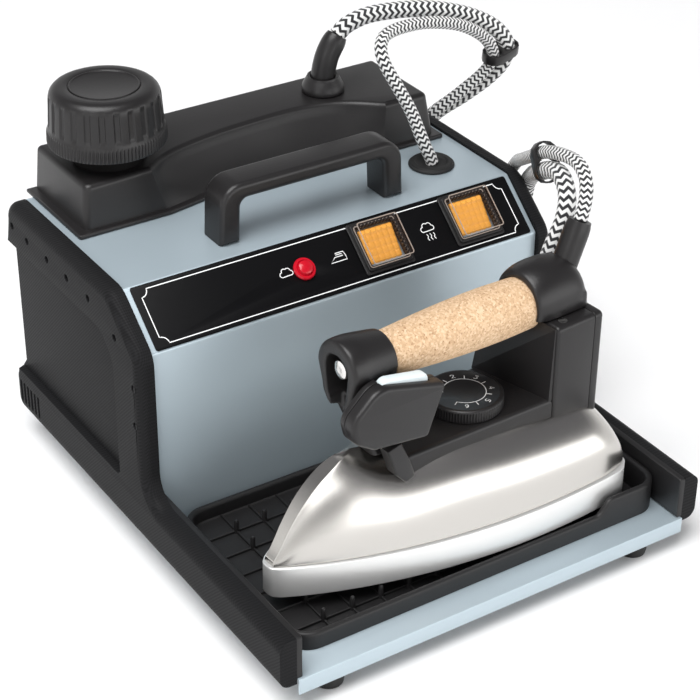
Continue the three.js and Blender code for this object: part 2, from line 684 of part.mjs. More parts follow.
function buildOutlets() {
  const bottom = COVER_TOP + GAP;
  const bore = HOSE_RADIUS + 1.6;
  const seat = HOSE_RADIUS + 2.7;
  const collar = turned(HOSE_X, HOSE_Y, [
    [bore, bottom], [12.4, bottom], [12.9, bottom + 1.5], [12, bottom + 5], [9.6, COLLAR_TOP - 1],
    [8.8, COLLAR_TOP], [seat, COLLAR_TOP], [seat, bottom + 4], [bore, bottom + 4], [bore, bottom],
  ], 20);
  place(object, 'hose_collar', collar, blackPlastic);
  const line = [
    [HOSE_X, HOSE_Y, bottom + 4.4], [HOSE_X + 0.3, HOSE_Y, 199], [HOSE_X + 3.4, HOSE_Y, 209.5], HOSE_EXIT,
  ];
  const hollow = [[HOSE_X, HOSE_Y, bottom], ...line, [HOSE_X + 20, HOSE_Y, 227]];
  const sleeve = cut(tube(line, HOSE_RADIUS + 2.2, 7, 12), tube(hollow, HOSE_RADIUS + 0.5, 10, 8));
  place(object, 'hose_sleeve', sleeve, blackPlastic);

  const hole = CABLE_RADIUS + 1.2;
  const grommet = turned(GROMMET_X, GROMMET_Y, [
    [hole, 155], [9.6, 155], [9.6, BODY_TOP + GAP], [13.4, BODY_TOP + GAP], [13.6, BODY_TOP + 1.4],
    [12.2, BODY_TOP + 2.8], [9.5, BODY_TOP + 3], [8.2, BODY_TOP + 1.4], [hole, BODY_TOP + 1], [hole, 155],
  ], 20);
  place(object, 'cable_grommet', grommet, footRubber);
}

// ---- Iron ---------------------------------------------------------------------------------

const iron = new THREE.Group();
iron.position.copy(IRON_TIP);
iron.rotation.z = IRON_YAW;
object.add(iron);

// Half width of the sole at a distance from its tip
function soleHalf(x) {
  const widest = 49;
  const along = THREE.MathUtils.clamp(x / 178, 0, 1);
  const taper = x > 178 ? 1.4 * ((x - 178) / 41) ** 2 : 0;
  return widest * Math.sin((Math.PI / 2) * along ** 0.8) - taper;
}

// Sole outline, moved in from the edge
function soleOutline(edge) {
  const stations = [10, 17, 26, 39, 56, 78, 102, 128, 154, 180, 202, SOLE_LENGTH - 4];
  const shifted = stations.filter((x) => x < SOLE_LENGTH - 3 - edge * 1.2);
  const side = shifted.map((x) => {
    const moved = x + edge * 1.6 * (1 - x / SOLE_LENGTH);
    return [moved, Math.max(soleHalf(x) + 0.8 - edge, 0.8)];
  });
  const tip = [[4 + edge * 1.6, 1.6], [4.9 + edge * 1.6, Math.max(4.4 - edge, 1.7)]];
  const heel = [[SOLE_LENGTH - 0.8 - edge, soleHalf(200) - 2 - edge], [SOLE_LENGTH - edge, 40 - edge]];
  const half = [...tip, ...side, ...heel];
  return [...half.map(([x, y]) => [x, -y]), ...half.toReversed()];
}

function buildSole() {
  const outline = soleOutline(0);
  const plate = loft([raise(outline, SOLE_BASE), raise(outline, SOLE_BAND)]);
  const holes = [];
  for (const [x, y] of [[30, 0], [46, 8], [46, -8], [70, 16], [70, -16], [100, 22], [100, -22]]) {
    holes.push(post(x, y, SOLE_BASE - 1, 9.5, 2, 6));
  }
  const chamber = slabZ(soleOutline(9), 9, SOLE_BAND + 9);
  place(iron, 'soleplate', cut(plate, chamber, ...holes), aluminium);
  place(iron, 'iron_heating_element', slabZ(soleOutline(14), 9 + GAP, 15), stainless);
}

// Height of the dome's ridge at a distance from the tip: a steep prow, then a saddle for the deck
const RIDGE = [
  [4, 17.4], [10, 24.4], [18, 39.6], [30, 53.8], [42, 62], [54, 67], [62, 66], [72, 63.6], [90, 62.4],
  [150, 60], [SOLE_LENGTH, HEEL_Z],
];

function ridge(x) {
  const at = RIDGE.findIndex(([station]) => station >= x);
  const [x0, z0] = RIDGE[Math.max(at - 1, 0)];
  const [x1, z1] = RIDGE[Math.max(at, 1)];
  return THREE.MathUtils.mapLinear(x, x0, x1, z0, z1);
}

// Cross-section of the dome: a rounded triangle at the tip that fills out towards the heel
function domeRing(x, half, top, low, points) {
  const full = THREE.MathUtils.smoothstep(x, 0, 130);
  const spread = THREE.MathUtils.lerp(1.6, 0.9, full);
  const crown = THREE.MathUtils.lerp(1.0, 0.72, full);
  const ring = [];
  for (let i = 0; i <= points; i += 1) {
    const angle = (Math.PI * i) / points;
    const y = half * Math.sign(Math.cos(angle)) * Math.abs(Math.cos(angle)) ** spread;
    const z = low + (top - low) * Math.sin(angle) ** crown;
    ring.push([x, y, z]);
  }
  return ring;
}

// Skin of the dome, moved in by a distance; it stands on the sole at a height
function domeSkin(offset, low, points = 18) {
  const stations = [6, 11, 18, 30, 42, 54, 62, 72, 92, 120, 150, 178, 200, 210, 214.5];
  return loft(stations.map((x) => {
    const heel = x > 192 ? Math.sqrt(1 - ((x - 192) / 24) ** 2) : 1;
    const half = Math.max((soleHalf(x) - 1.2 - offset) * (0.88 + 0.12 * heel), 0.6);
    const top = low + Math.max(ridge(x) - SOLE_BAND - offset, 1) * (0.3 + 0.7 * heel);
    return domeRing(x + (offset * 1.4 * (105 - x)) / 105, half, top, low, points);
  }));
}

function buildDome() {
  const low = SOLE_BAND + GAP;
  const spindleHole = post(DIAL_X, 0, 40, 90, SPINDLE + 1, 12);
  place(iron, 'iron_dome', cut(domeSkin(0, low), domeSkin(2, low - 1, 10), spindleHole), stainless);
}

// Plan of the black deck on the dome: distance from the tip and half width
const DECK = [[76, 21], [124, 23.5], [BLOCK_FRONT, 26]];

function deckOutline() {
  return [...DECK.map(([x, y]) => [x, -y]), ...DECK.toReversed()];
}

function buildDeck() {
  const strut = slabY([[62, 77], [71, 79], [77, 66.5], [81, 55], [75, 52.5], [68, 60]], -25.5, -18);
  const rear = BLOCK_FRONT - GAP;
  const ramp = slabY([[158, DECK_TOP - 1], [rear, DECK_TOP - 1], [rear, 96]], -22, 22);
  const deck = cut(
    join(slabZ(deckOutline(), 40, DECK_TOP), ramp, strut),
    toolDome(),
    post(DIAL_X, 0, DECK_TOP - 9, DECK_TOP + 9, SPINDLE + GAP, 12),
    box(rear, 230, -60, 60, 0, 200),
  );
  place(iron, 'iron_deck', deck, blackPlastic);
  const regulator = post(DIAL_X, 0, 15 + GAP, 40, 12, 16);
  const spindle = post(DIAL_X, 0, 39, DECK_TOP + 2, SPINDLE, 12);
  place(iron, 'iron_thermostat', join(regulator, spindle), brass);
}

// The space the dome fills, used to fit pieces on top of it
function toolDome() {
  return domeSkin(-GAP, SOLE_BAND + GAP, 18);
}

function buildDial() {
  const bottom = DECK_TOP + GAP;
  const knob = turned(DIAL_X, 0, [
    [0, bottom + 2.2], [SPINDLE + 0.4, bottom + 2.2], [SPINDLE + 0.4, bottom], [DIAL_RADIUS, bottom],
    [DIAL_RADIUS, DIAL_TOP - 1], [DIAL_RADIUS - 1, DIAL_TOP], [0, DIAL_TOP],
  ], 28);
  place(iron, 'thermostat_dial', knob, blackPlastic);
}

// Height of the grip's axis at a distance from the tip
function gripZ(x) {
  return THREE.MathUtils.mapLinear(x, GRIP_FRONT, GRIP_REAR, GRIP_Z_FRONT, GRIP_Z_REAR);
}

function roundRing(x, radius, points = 20, lift = 0) {
  return Array.from({ length: points }, (_, i) => {
    const angle = (2 * Math.PI * i) / points;
    return [x, radius * Math.cos(angle), gripZ(x) + lift + radius * Math.sin(angle)];
  });
}

// Upright loop across the grip's axis: a round top and a round lower end at its own height
function loopRing(x, radius, low, lowRadius) {
  const steps = 10;
  const arc = (centre, r, start) => Array.from({ length: steps }, (_, i) => {
    const angle = start + (Math.PI * i) / (steps - 1);
    return [x, r * Math.cos(angle), centre + r * Math.sin(angle)];
  });
  return [...arc(gripZ(x), radius, 0), ...arc(low, lowRadius, Math.PI)];
}

function buildGrip() {
  const profile = [[0, 12], [0.12, 12.9], [0.3, 14.1], [0.5, 15], [0.7, 15.3], [0.88, 14.9], [1, 14.3]];
  const length = GRIP_REAR - GRIP_FRONT;
  const rings = profile.map(([t, radius]) => roundRing(GRIP_FRONT + t * length, radius));
  const bore = loft([roundRing(GRIP_FRONT - 9, 4), roundRing(GRIP_REAR + 9, 4)]);
  place(iron, 'cork_grip', cut(loft(rings), bore), cork);
  const rod = join(
    loft([roundRing(GRIP_FRONT - 16, 3.4, 10), roundRing(GRIP_REAR + 8, 3.4, 10)]),
    loft([roundRing(GRIP_FRONT - 21, 6, 6), roundRing(GRIP_FRONT - 14, 6, 6)]),
  );
  place(iron, 'grip_tie_bolt', rod, stainless);
}

function buildPosts() {
  const rodRoom = loft([roundRing(GRIP_FRONT - 17, 3.8, 10), roundRing(GRIP_FRONT + 9, 3.8, 10)]);
  const collar = loft([
    loopRing(48.5, 15, 107, 11.5), loopRing(50.5, 16.5, 105.5, 13), loopRing(58, 16.7, 105, 13),
    loopRing(67, 15.6, 109, 13.5), loopRing(GRIP_FRONT - GAP, 14, gripZ(GRIP_FRONT) - 1, 13.5),
  ]);
  const leg = loft([
    raise(rectangle(64, 84, -12, 12), DECK_TOP + GAP), raise(rectangle(60, 80, -9, 9), 80),
    raise(rectangle(55, 74, -9.5, 9.5), 92), raise(rectangle(52, 72, -12.5, 12.5), 106),
  ]);
  const mouth = loft([loopRing(30, 8.8, 104, 7.5), loopRing(GRIP_FRONT - 13.7, 8.8, 106, 7.5)]);
  const throat = slabY([[30, 82], [57, 88], [57, 104], [30, 104]], -5.5, 5.5);
  const bracket = cut(join(collar, leg), mouth, throat, rodRoom, toolDome());
  place(iron, 'front_post', bracket, blackPlastic);

  const rearCollar = loft([
    roundRing(GRIP_REAR - 7, 17.2, 20, 1.5), roundRing(GRIP_REAR + 4, 19.6, 20, 2.4),
    roundRing(194, 18, 20, 1.5), roundRing(202, 12, 20, 0),
  ]);
  const neck = slabZ(rectangle(174, 198, -16, 16), BLOCK_TOP + GAP, 122);
  const socket = loft([roundRing(GRIP_REAR - 12, 14.9), roundRing(GRIP_REAR + GAP, 14.9)]);
  const rodEnd = loft([roundRing(GRIP_REAR - 1, 3.8, 10), roundRing(GRIP_REAR + 8.5, 3.8, 10)]);
  const floor = box(150, 230, -60, 60, 60, BLOCK_TOP + GAP);
  const cableWell = tube([[192, 0, 100], ...SLEEVE_LINE], 7.7, 6, 12);
  const hoseWell = post(199, 13, 90, 150, HOSE_RADIUS + 0.6, 10);
  const stand = cut(join(rearCollar, neck), socket, rodEnd, floor, cableWell, hoseWell);
  place(iron, 'rear_post', stand, blackPlastic);
}

// Axis of the cable's sleeve above the heel
const SLEEVE_LINE = [[196, 0, 112], [200.5, 0, 126], [210.5, 0, 150.5]];

function buildBlock() {
  const lidFront = BLOCK_REAR - 6;
  const body = cut(
    box(BLOCK_FRONT, lidFront - GAP, -BLOCK_HALF, BLOCK_HALF, 40, BLOCK_TOP),
    box(BLOCK_FRONT + 2.4, BLOCK_REAR, -BLOCK_HALF + 2.4, BLOCK_HALF - 2.4, 30, BLOCK_TOP - 2.4),
    loft([roundRing(GRIP_REAR - 30, 16), roundRing(GRIP_REAR + 8, 16)]),
    toolDome(),
  );
  place(iron, 'rear_block', body, blackPlastic);
  const lid = cut(box(lidFront, BLOCK_REAR, -BLOCK_HALF, BLOCK_HALF, 40, BLOCK_TOP), toolDome());
  place(iron, 'rear_block_cover', lid, blackPlastic);
  const bore = tube([...SLEEVE_LINE, [214, 0, 160]], CABLE_RADIUS + 0.6, 8, 8);
  const sleeve = cut(tube(SLEEVE_LINE, 7.2, 7, 12), bore);
  place(iron, 'cable_sleeve', sleeve, blackPlastic);
}

const HOUSING_PITCH = THREE.MathUtils.degToRad(9);
const HOUSING_CENTRE = [60, 102.5];

function pitched(geometry) {
  const [x, z] = HOUSING_CENTRE;
  geometry.translate(-x, 0, -z);
  geometry.rotateY(HOUSING_PITCH);
  return geometry.translate(x, 0, z);
}

function buildSwitch() {
  const outline = rounded([
    [36, 101, 9], [41, 89, 9], [54, 83, 4], [89, 83, 3], [95.5, 113, 3], [51, 119, 13],
  ], 4);
  const well = pitched(box(55, 87, -25, -17, 95, 125));
  const outer = cut(pitched(slabY(outline, -29.5, -22)), well);
  const inner = cut(pitched(slabY(outline, -22 + GAP, -17.9)), well);
  place(iron, 'switch_case_outer', outer, blackPlastic);
  place(iron, 'switch_case_inner', inner, blackPlastic);
  const button = pitched(slabY(rounded([
    [55.5, 108], [86.5, 108], [86.5, 118, 4], [55.5, 120, 5],
  ], 3), -24.6, -18.4));
  place(iron, 'steam_button', button, paleButton);
}

// ---- Cords --------------------------------------------------------------------------------

// Both cords leave the cabinet's top, arch over its rear right corner to a coil on the floor
// behind, come back along the right side and rise over its edge to the heel of the iron.
const HOSE_COIL = { x: 102, y: 241, inner: 47, outer: 68, height: 21 };
const CABLE_COIL = { x: -20, y: 215, inner: 34.3, outer: 49.7, height: 15.6 };

const HOSE_OUT = [
  [75.6, 122.5, 222.1], [82, 122.3, 225.6], [95, 122, 228], [115, 120, 227.5], [136, 116, 225],
  [159, 112, 218], [177, 109, 208], [187, 107, 196], [187, 108, 184], [179, 112, 173], [165, 119, 161],
  [153, 130, 148], [149, 143, 130], [148, 155, 108], [147, 165, 82], [144, 171, 54], [139, 174, 30],
  [133, 174, 14],
];
const HOSE_RETURN = [
  [175.4, 235, 5.4], [174, 215, 5.4], [171, 190, 5.4], [168, 160, 5.4], [167, 128, 5.4],
  [165, 100, 5.4], [160, 79, 7], [153.5, 60, 18], [149, 46, 40], [146.5, 37, 68], [145, 31, 96],
  [144, 28, 122], [143.4, 25.5, 140], [143, 23.6, 146],
];
const HOSE_IRON = [
  [142.5, 22.2, 148.4], [140.6, 17, 154.6], [136, 9, 161], [127, -4, 169], [118, -18, 178],
  [111, -34, 188], [107, -48, 193], [103, -59, 190], [99.4, -65, 184], [94.8, -68, 175],
  [90, -68, 165], [86.5, -67, 153], [85.5, -66.6, 143],
];
const CABLE_OUT = [
  [94.5, 52.5, 160.5], [93.5, 53, 164], [90, 56, 174], [86, 63, 191], [80, 69, 206], [75.5, 76, 219],
  [77, 82, 226.5], [85, 88, 230], [101, 92, 230], [121, 95, 227], [145, 98, 219], [165, 101, 206],
  [174.5, 103, 192], [172, 107, 180], [159, 112, 168], [144, 119, 154.5], [140, 128, 140],
  [139.2, 140, 120], [138, 151, 98], [134, 159, 72], [126, 164, 44], [112, 166.6, 20], [92, 166.6, 7],
  [70, 166.4, 4.2], [40, 165.6, 4.2], [12, 162.4, 4.2],
];
const CABLE_RETURN = [
  [34.2, 207, 4.2], [35.4, 192, 4.4], [37, 180, 8], [41, 170, 13.6], [51, 160.6, 13], [66, 158, 5.8],
  [86, 158, 4.2], [110, 158.2, 4.2], [132, 157.4, 4.2], [148, 149, 4.2], [156, 130, 4.2],
  [155, 105, 4.2], [152, 84, 7], [148, 69, 20], [145.5, 59, 42], [143.6, 52, 70], [142.3, 47, 98],
  [141.2, 43, 124], [140.6, 39.8, 142], [140.4, 38.4, 146.5],
];
const CABLE_IRON = [
  [140.2, 36.9, 149], [137.8, 27.6, 160.4], [129.5, 13, 170], [119, -9, 184], [112.5, -28, 196],
  [109, -46, 203], [107, -62, 205.5], [104.5, -72, 202], [102, -77, 196], [99, -79.6, 189],
];

function coil(spec) {
  const { x, y, inner, outer, height } = spec;
  return turned(x, y, [[inner, 0.4], [outer, 0.4], [outer, height], [inner, height], [inner, 0.4]], 28);
}

// Where the cable leaves its sleeve, in the object's frame
function sleeveMouth() {
  iron.updateMatrixWorld(true);
  const mouth = new THREE.Vector3(...SLEEVE_LINE[2]).applyMatrix4(iron.matrixWorld);
  return mouth.toArray();
}

// The point and direction of a cord's axis nearest to a target
function nearest(points, target) {
  const axis = new THREE.CatmullRomCurve3(points.map((p) => new THREE.Vector3(...p)));
  const goal = new THREE.Vector3(...target);
  let best = 0;
  for (let i = 0; i <= 400; i += 1) {
    if (axis.getPoint(i / 400).distanceTo(goal) < axis.getPoint(best).distanceTo(goal)) {
      best = i / 400;
    }
  }
  return { point: axis.getPoint(best), heading: axis.getTangent(best) };
}

// A tie around both cords where they lie side by side
function clip(hosePoints, cablePoints, target) {
  const hose = nearest(hosePoints, target);
  const cable = nearest(cablePoints, hose.point.toArray());
  const axis = hose.heading.clone().add(cable.heading).normalize();
  const side = hose.point.clone().sub(cable.point);
  side.addScaledVector(axis, -side.dot(axis));
  const reach = side.length() / 2;
  side.normalize();
  const centre = hose.point.clone().add(cable.point).multiplyScalar(0.5);
  const frame = new THREE.Matrix4().makeBasis(side, new THREE.Vector3().crossVectors(axis, side), axis);
  frame.setPosition(centre);
  const outline = rounded(rectangle(-reach - 6.2, reach + 7.4, -7.2, 7.2, 7), 3);
  const body = slabZ(outline, -3, 3).applyMatrix4(frame);
  const bores = [[hose, HOSE_RADIUS], [cable, CABLE_RADIUS]].map(([cord, radius]) => {
    const start = cord.point.clone().addScaledVector(cord.heading, -12);
    const end = cord.point.clone().addScaledVector(cord.heading, 12);
    return tube([start.toArray(), cord.point.toArray(), end.toArray()], radius + 1.5, 2, 12);
  });
  return cut(body, ...bores);
}

function buildCords() {
  place(object, 'hose_lead_out', tube(HOSE_OUT, HOSE_RADIUS, 27), braid);
  place(object, 'hose_coil', coil(HOSE_COIL), braid);
  place(object, 'hose_lead_return', tube(HOSE_RETURN, HOSE_RADIUS, 12), braid);
  place(object, 'hose_lead_iron', tube(HOSE_IRON, HOSE_RADIUS, 10), braid);
  place(object, 'cable_lead_out', tube(CABLE_OUT, CABLE_RADIUS, 34), braid);
  place(object, 'cable_coil', coil(CABLE_COIL), braid);
  place(object, 'cable_lead_return', tube(CABLE_RETURN, CABLE_RADIUS, 24), braid);
  place(object, 'cable_lead_iron', tube([...CABLE_IRON, sleeveMouth()], CABLE_RADIUS, 12), braid);
  place(object, 'cord_clip_cabinet', clip(HOSE_OUT, CABLE_OUT, [187, 107.4, 191.5]), blackPlastic);
  place(object, 'cord_clip_iron', clip(HOSE_IRON, CABLE_IRON, [112, -31, 186]), blackPlastic);
}

buildCabinet();
buildPanels();
buildMat();
buildControls();
buildHandle();
buildTankCover();
buildBoiler();
buildFittings();
buildCap();
buildOutlets();
buildSole();
buildDome();
buildDeck();
buildDial();
buildGrip();
buildPosts();
buildBlock();
buildSwitch();
buildCords();

export default object;
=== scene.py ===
"""Looks for the steam generator iron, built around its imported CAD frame."""

import cmath
import json
from math import atan2, cos, dist, exp, hypot, pi, radians, sin, sqrt, tan

import bmesh
import bpy
from mathutils import Matrix, Vector
from mathutils.geometry import tessellate_polygon


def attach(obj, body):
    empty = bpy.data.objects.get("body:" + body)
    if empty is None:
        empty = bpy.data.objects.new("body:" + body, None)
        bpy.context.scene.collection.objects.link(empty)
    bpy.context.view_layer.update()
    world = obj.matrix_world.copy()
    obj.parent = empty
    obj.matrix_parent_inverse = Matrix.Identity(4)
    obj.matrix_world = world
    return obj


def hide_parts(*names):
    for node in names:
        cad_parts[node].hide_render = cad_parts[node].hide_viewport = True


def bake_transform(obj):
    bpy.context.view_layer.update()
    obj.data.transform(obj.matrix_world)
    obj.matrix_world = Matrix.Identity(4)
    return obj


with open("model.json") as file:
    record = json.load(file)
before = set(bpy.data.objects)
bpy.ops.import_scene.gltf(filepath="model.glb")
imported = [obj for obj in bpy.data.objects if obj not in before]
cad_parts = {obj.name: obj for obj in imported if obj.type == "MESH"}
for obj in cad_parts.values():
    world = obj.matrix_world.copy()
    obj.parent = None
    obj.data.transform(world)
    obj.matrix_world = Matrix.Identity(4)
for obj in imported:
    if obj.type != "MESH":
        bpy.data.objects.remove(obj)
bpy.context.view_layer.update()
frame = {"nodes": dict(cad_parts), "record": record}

MM = 0.001
TAU = 2 * pi
BLACK = "black_plastic"
PRINT_Z = 0.82
CORD_STEP = 4.0
KNURL_DEPTH = 0.8

# ---- Places, in millimetres, as in the CAD ----

METAL_HALF = 124.7
BASE_TOP = 20.2
WALL_Y = -9.6
FOLD_LOW = 134.0
FOLD_HIGH_Y = 19.9
BODY_TOP = 159.0
REAR_Y = 139.0
COVER_BASE = 159.3
FLANGE_TOP = 161.6
COVER_TOP = 187.0
NECK = (-84.0, 112.0)
HOSE_AT = (63.5, 122.5)
HOSE_RADIUS = 5.0
CABLE_RADIUS = 3.75
GROMMET = (94.0, 52.5)
RAIL_FRONT = -151.4
RAIL_IN = 121.6
RAIL_TOP = 45.9
PANEL_IN = 125.0
PANEL_FIELD = 130.6
PANEL_OUT = 134.8
SOLE_BASE = -1.5
SOLE_BAND = 17.0
SOLE_LENGTH = 219.0
DOME_LOW = 17.3
DECK_TOP = 65.0
DIAL_X = 134.0
DIAL_BOTTOM = 65.3
DIAL_TOP = 73.0
GRIP_FRONT = 77.5
GRIP_REAR = 176.0
BLOCK_FRONT = 174.0
BLOCK_REAR = 206.6
BLOCK_HALF = 27.0
BLOCK_TOP = 109.0

SLOPE_ANGLE = atan2(BODY_TOP - FOLD_LOW, FOLD_HIGH_Y - WALL_Y)
SLOPE_LENGTH = hypot(BODY_TOP - FOLD_LOW, FOLD_HIGH_Y - WALL_Y)
SLOPE = Matrix.Translation((0, WALL_Y, FOLD_LOW)) @ Matrix.Rotation(SLOPE_ANGLE, 4, "X")
IRON_TURN = radians(4.5)
IRON = Matrix.Translation((-114.1, -97.6, 32)) @ Matrix.Rotation(IRON_TURN, 4, "Z")
HERE = Matrix.Identity(4)
# Upright drawing planes: the drawing's z points to -Y in the first and to +X in the second
UPRIGHT_XZ = Matrix(((1, 0, 0, 0), (0, 0, -1, 0), (0, 1, 0, 0), (0, 0, 0, 1)))
UPRIGHT_YZ = Matrix(((0, 0, 1, 0), (1, 0, 0, 0), (0, 1, 0, 0), (0, 0, 0, 1)))
MIRROR = Matrix.Diagonal((-1, 1, 1, 1))
PITCH = (
    Matrix.Translation((60, 0, 102.5))
    @ Matrix.Rotation(radians(9), 4, "Y")
    @ Matrix.Translation((-60, 0, -102.5))
)


# ---- Camera ----


def make_camera():
    data = bpy.data.cameras.new("camera")
    data.lens = 100.54
    data.sensor_width = 36
    data.clip_start = 0.05
    camera = bpy.data.objects.new("camera", data)
    forward = Vector((0.466091, 0.709573, -0.528456)).normalized()
    right = Vector((0.838394, -0.545011, 0.00765)).normalized()
    up = right.cross(forward)
    turn = Matrix((right, up, -forward)).transposed().to_4x4()
    camera.matrix_world = Matrix.Translation((-0.50786, -0.77921, 0.669745)) @ turn
    bpy.context.scene.collection.objects.link(camera)
    bpy.context.scene.camera = camera


# ---- Outlines ----


def unit(spot):
    return spot / abs(spot)


def rounded(points, steps=6):
    """Closed line through corners [x, y] or [x, y, radius], with an arc at each corner that has a radius"""
    spots = [complex(point[0], point[1]) for point in points]
    line = []
    for i, point in enumerate(points):
        if len(point) < 3 or not point[2]:
            line.append((point[0], point[1]))
            continue
        back = unit(spots[i - 1] - spots[i])
        ahead = unit(spots[(i + 1) % len(spots)] - spots[i])
        half = abs(cmath.phase(ahead / back)) / 2
        centre = spots[i] + unit(back + ahead) * point[2] / sin(half)
        reach = point[2] / tan(half)
        start = spots[i] + back * reach - centre
        turn = cmath.phase((spots[i] + ahead * reach - centre) / start)
        for k in range(steps + 1):
            arc = centre + start * cmath.exp(1j * turn * k / steps)
            line.append((arc.real, arc.imag))
    return line


def rectangle(x0, x1, y0, y1, radius=0.0):
    return [(x0, y0, radius), (x1, y0, radius), (x1, y1, radius), (x0, y1, radius)]


def around(sides):
    """Cosine and sine at even steps of one turn"""
    return [(cos(TAU * k / sides), sin(TAU * k / sides)) for k in range(sides)]


def circle(x, y, radius, sides=32):
    return [(x + radius * c, y + radius * s) for c, s in around(sides)]


def arc(x, y, radius, first, last, steps):
    """Points on an arc from one angle to another in degrees, ends included"""
    turns = [radians(mix(first, last, k / steps)) for k in range(steps + 1)]
    return [(x + radius * cos(turn), y + radius * sin(turn)) for turn in turns]


def spline(points, steps=6):
    """Smooth line through points of any dimension, ends included"""
    spots = [Vector(point) for point in points]
    spots = [2 * spots[0] - spots[1], *spots, 2 * spots[-1] - spots[-2]]
    line = []
    for a, b, c, d in zip(spots, spots[1:], spots[2:], spots[3:]):
        for k in range(steps):
            t = k / steps
            curve = 2 * b + (c - a) * t + (2 * a - 5 * b + 4 * c - d) * t * t + (3 * b - a - 3 * c + d) * t**3
            line.append(0.5 * curve)
    line.append(spots[-2])
    return [tuple(spot) for spot in line]


def area(points):
    pairs = zip(points, points[1:] + points[:1])
    return sum(a[0] * b[1] - b[0] * a[1] for a, b in pairs) / 2


def inset(points, distance, share=None):
    """Outline moved towards its inside by a distance, or by each point's own share of it"""
    side = 1 if area(points) > 0 else -1
    moved = []
    for i, (x, y) in enumerate(points):
        here = complex(x, y)
        into = unit(here - complex(*points[i - 1]))
        out = unit(complex(*points[(i + 1) % len(points)]) - here)
        normal = 1j * side * (into + out)
        reach = 2 * distance * (share[i] if share else 1)
        spot = here + (reach * normal / abs(normal) ** 2 if abs(normal) > 0.2 else 0)
        moved.append((spot.real, spot.imag))
    return moved


def lift(points, z):
    return [(x, y, z) for x, y in points]


def mix(a, b, t):
    return a + (b - a) * t


def smoothstep(x, low, high):
    t = min(max((x - low) / (high - low), 0), 1)
    return t * t * (3 - 2 * t)


def plateau(x, a, b, c, d):
    """Rises from 0 to 1 between a and b, and falls back between c and d"""
    return smoothstep(x, a, b) * (1 - smoothstep(x, c, d))


# ---- Solids: each is (points, faces) in millimetres ----


def skin(rings, start=0):
    """Faces between closed rings that have the same number of points"""
    count = len(rings[0])
    faces = []
    for r in range(len(rings) - 1):
        for i in range(count):
            a = start + r * count + i
            b = start + r * count + (i + 1) % count
            faces.append((a, b, b + count, a + count))
    return faces


def fill(points, *loops):
    """Flat faces that close an outline, or an outline with holes; each loop is a list of point numbers"""
    flat = [index for loop in loops for index in loop]
    corners = [[Vector(points[i]) for i in loop] for loop in loops]
    return [tuple(flat[i] for i in face) for face in tessellate_polygon(corners)]


def loft(rings, dished=False):
    """Solid through rings of equal length; dished means that its end faces have hollow outlines"""
    points = [point for ring in rings for point in ring]
    faces = skin(rings)
    count = len(rings[0])
    ends = list(range(count)), list(range(len(points) - count, len(points)))
    for end in ends:
        faces += fill(points, end) if dished else [tuple(end)]
    return points, faces


def quarter(edge, steps):
    """Inset and drop along a rounded edge, from the wall to the face"""
    for k in range(steps + 1 if edge else 1):
        angle = pi / 2 * k / steps
        yield edge * (1 - cos(angle)), edge * (1 - sin(angle))


def plate(outline, low, high, edge=0.6, holes=(), lower_edge=0.3, steps=3, share=None, mouth=None):
    """Flat solid with rounded edges. Each hole is (outline, floor), and floor is None where it goes through.
    Share is each point's part of the upper edge, and mouth is (edge, steps) of the holes' rims."""
    levels = [(inward, low + rise) for inward, rise in quarter(lower_edge, steps)][::-1]
    rings = [lift(inset(outline, inward), z) for inward, z in levels]
    rings += [lift(inset(outline, inward, share), high - drop) for inward, drop in quarter(edge, steps)]
    points = [point for ring in rings for point in ring]
    faces = skin(rings)
    bottom = [list(range(len(outline)))]
    top = [list(range(len(points) - len(outline), len(points)))]
    for hole, floor in holes:
        hole_rings = [lift(hole, low if floor is None else floor)]
        for outward, drop in quarter(*(mouth or (min(edge, 0.6), steps))):
            hole_rings.append(lift(inset(hole, -outward), high - drop))
        start = len(points)
        points += [point for ring in hole_rings for point in ring]
        faces += [face[::-1] for face in skin(hole_rings, start)]
        first = list(range(start, start + len(hole)))
        top.append(list(range(len(points) - len(hole), len(points))))
        if floor is None:
            bottom.append(first)
        else:
            faces.append(tuple(first))
    return points, faces + fill(points, *bottom) + fill(points, *top)


def turned(profile, x=0.0, y=0.0, sides=48, shape=None):
    """Body of revolution about an upright axis through (x, y): profile lists (radius, z)"""
    rings = []
    for radius, z in profile:
        ring = []
        for i in range(sides):
            angle = TAU * i / sides
            reach = max(radius, 0.01) + (shape(angle, z) if shape else 0)
            ring.append((x + reach * cos(angle), y + reach * sin(angle), z))
        rings.append(ring)
    return loft(rings)


def block(x0, x1, y0, y1, z0, z1, edge=0.4, corner=None):
    radius = edge if corner is None else corner
    return plate(rounded(rectangle(x0, x1, y0, y1, radius), 3), z0, z1, edge, lower_edge=edge)


def stations(path):
    """Frames that don't twist along a path: (point, side, up) for each of its points"""
    spots = [Vector(point) for point in path]
    frames = []
    side = None
    for i, spot in enumerate(spots):
        heading = (spots[min(i + 1, len(spots) - 1)] - spots[max(i - 1, 0)]).normalized()
        if side is None:
            side = heading.orthogonal().normalized()
        side = (side - heading * side.dot(heading)).normalized()
        frames.append((spot, side, heading.cross(side)))
    return frames


def tube(path, radius, sides=16):
    """Round tube along a path; radius is a number, or one number for each point"""
    rings = []
    for i, (spot, side, up) in enumerate(stations(path)):
        reach = radius[i] if isinstance(radius, (list, tuple)) else radius
        rings.append([tuple(spot + reach * (side * c + up * s)) for c, s in around(sides)])
    return loft(rings)


# ---- Pieces ----


def link(name, mesh):
    piece = bpy.data.objects.new(name, mesh)
    bpy.context.scene.collection.objects.link(piece)
    return piece


def edit(mesh, change):
    """Makes a change to a mesh that is opened for editing"""
    work = bmesh.new()
    work.from_mesh(mesh)
    change(work)
    work.to_mesh(mesh)
    work.free()


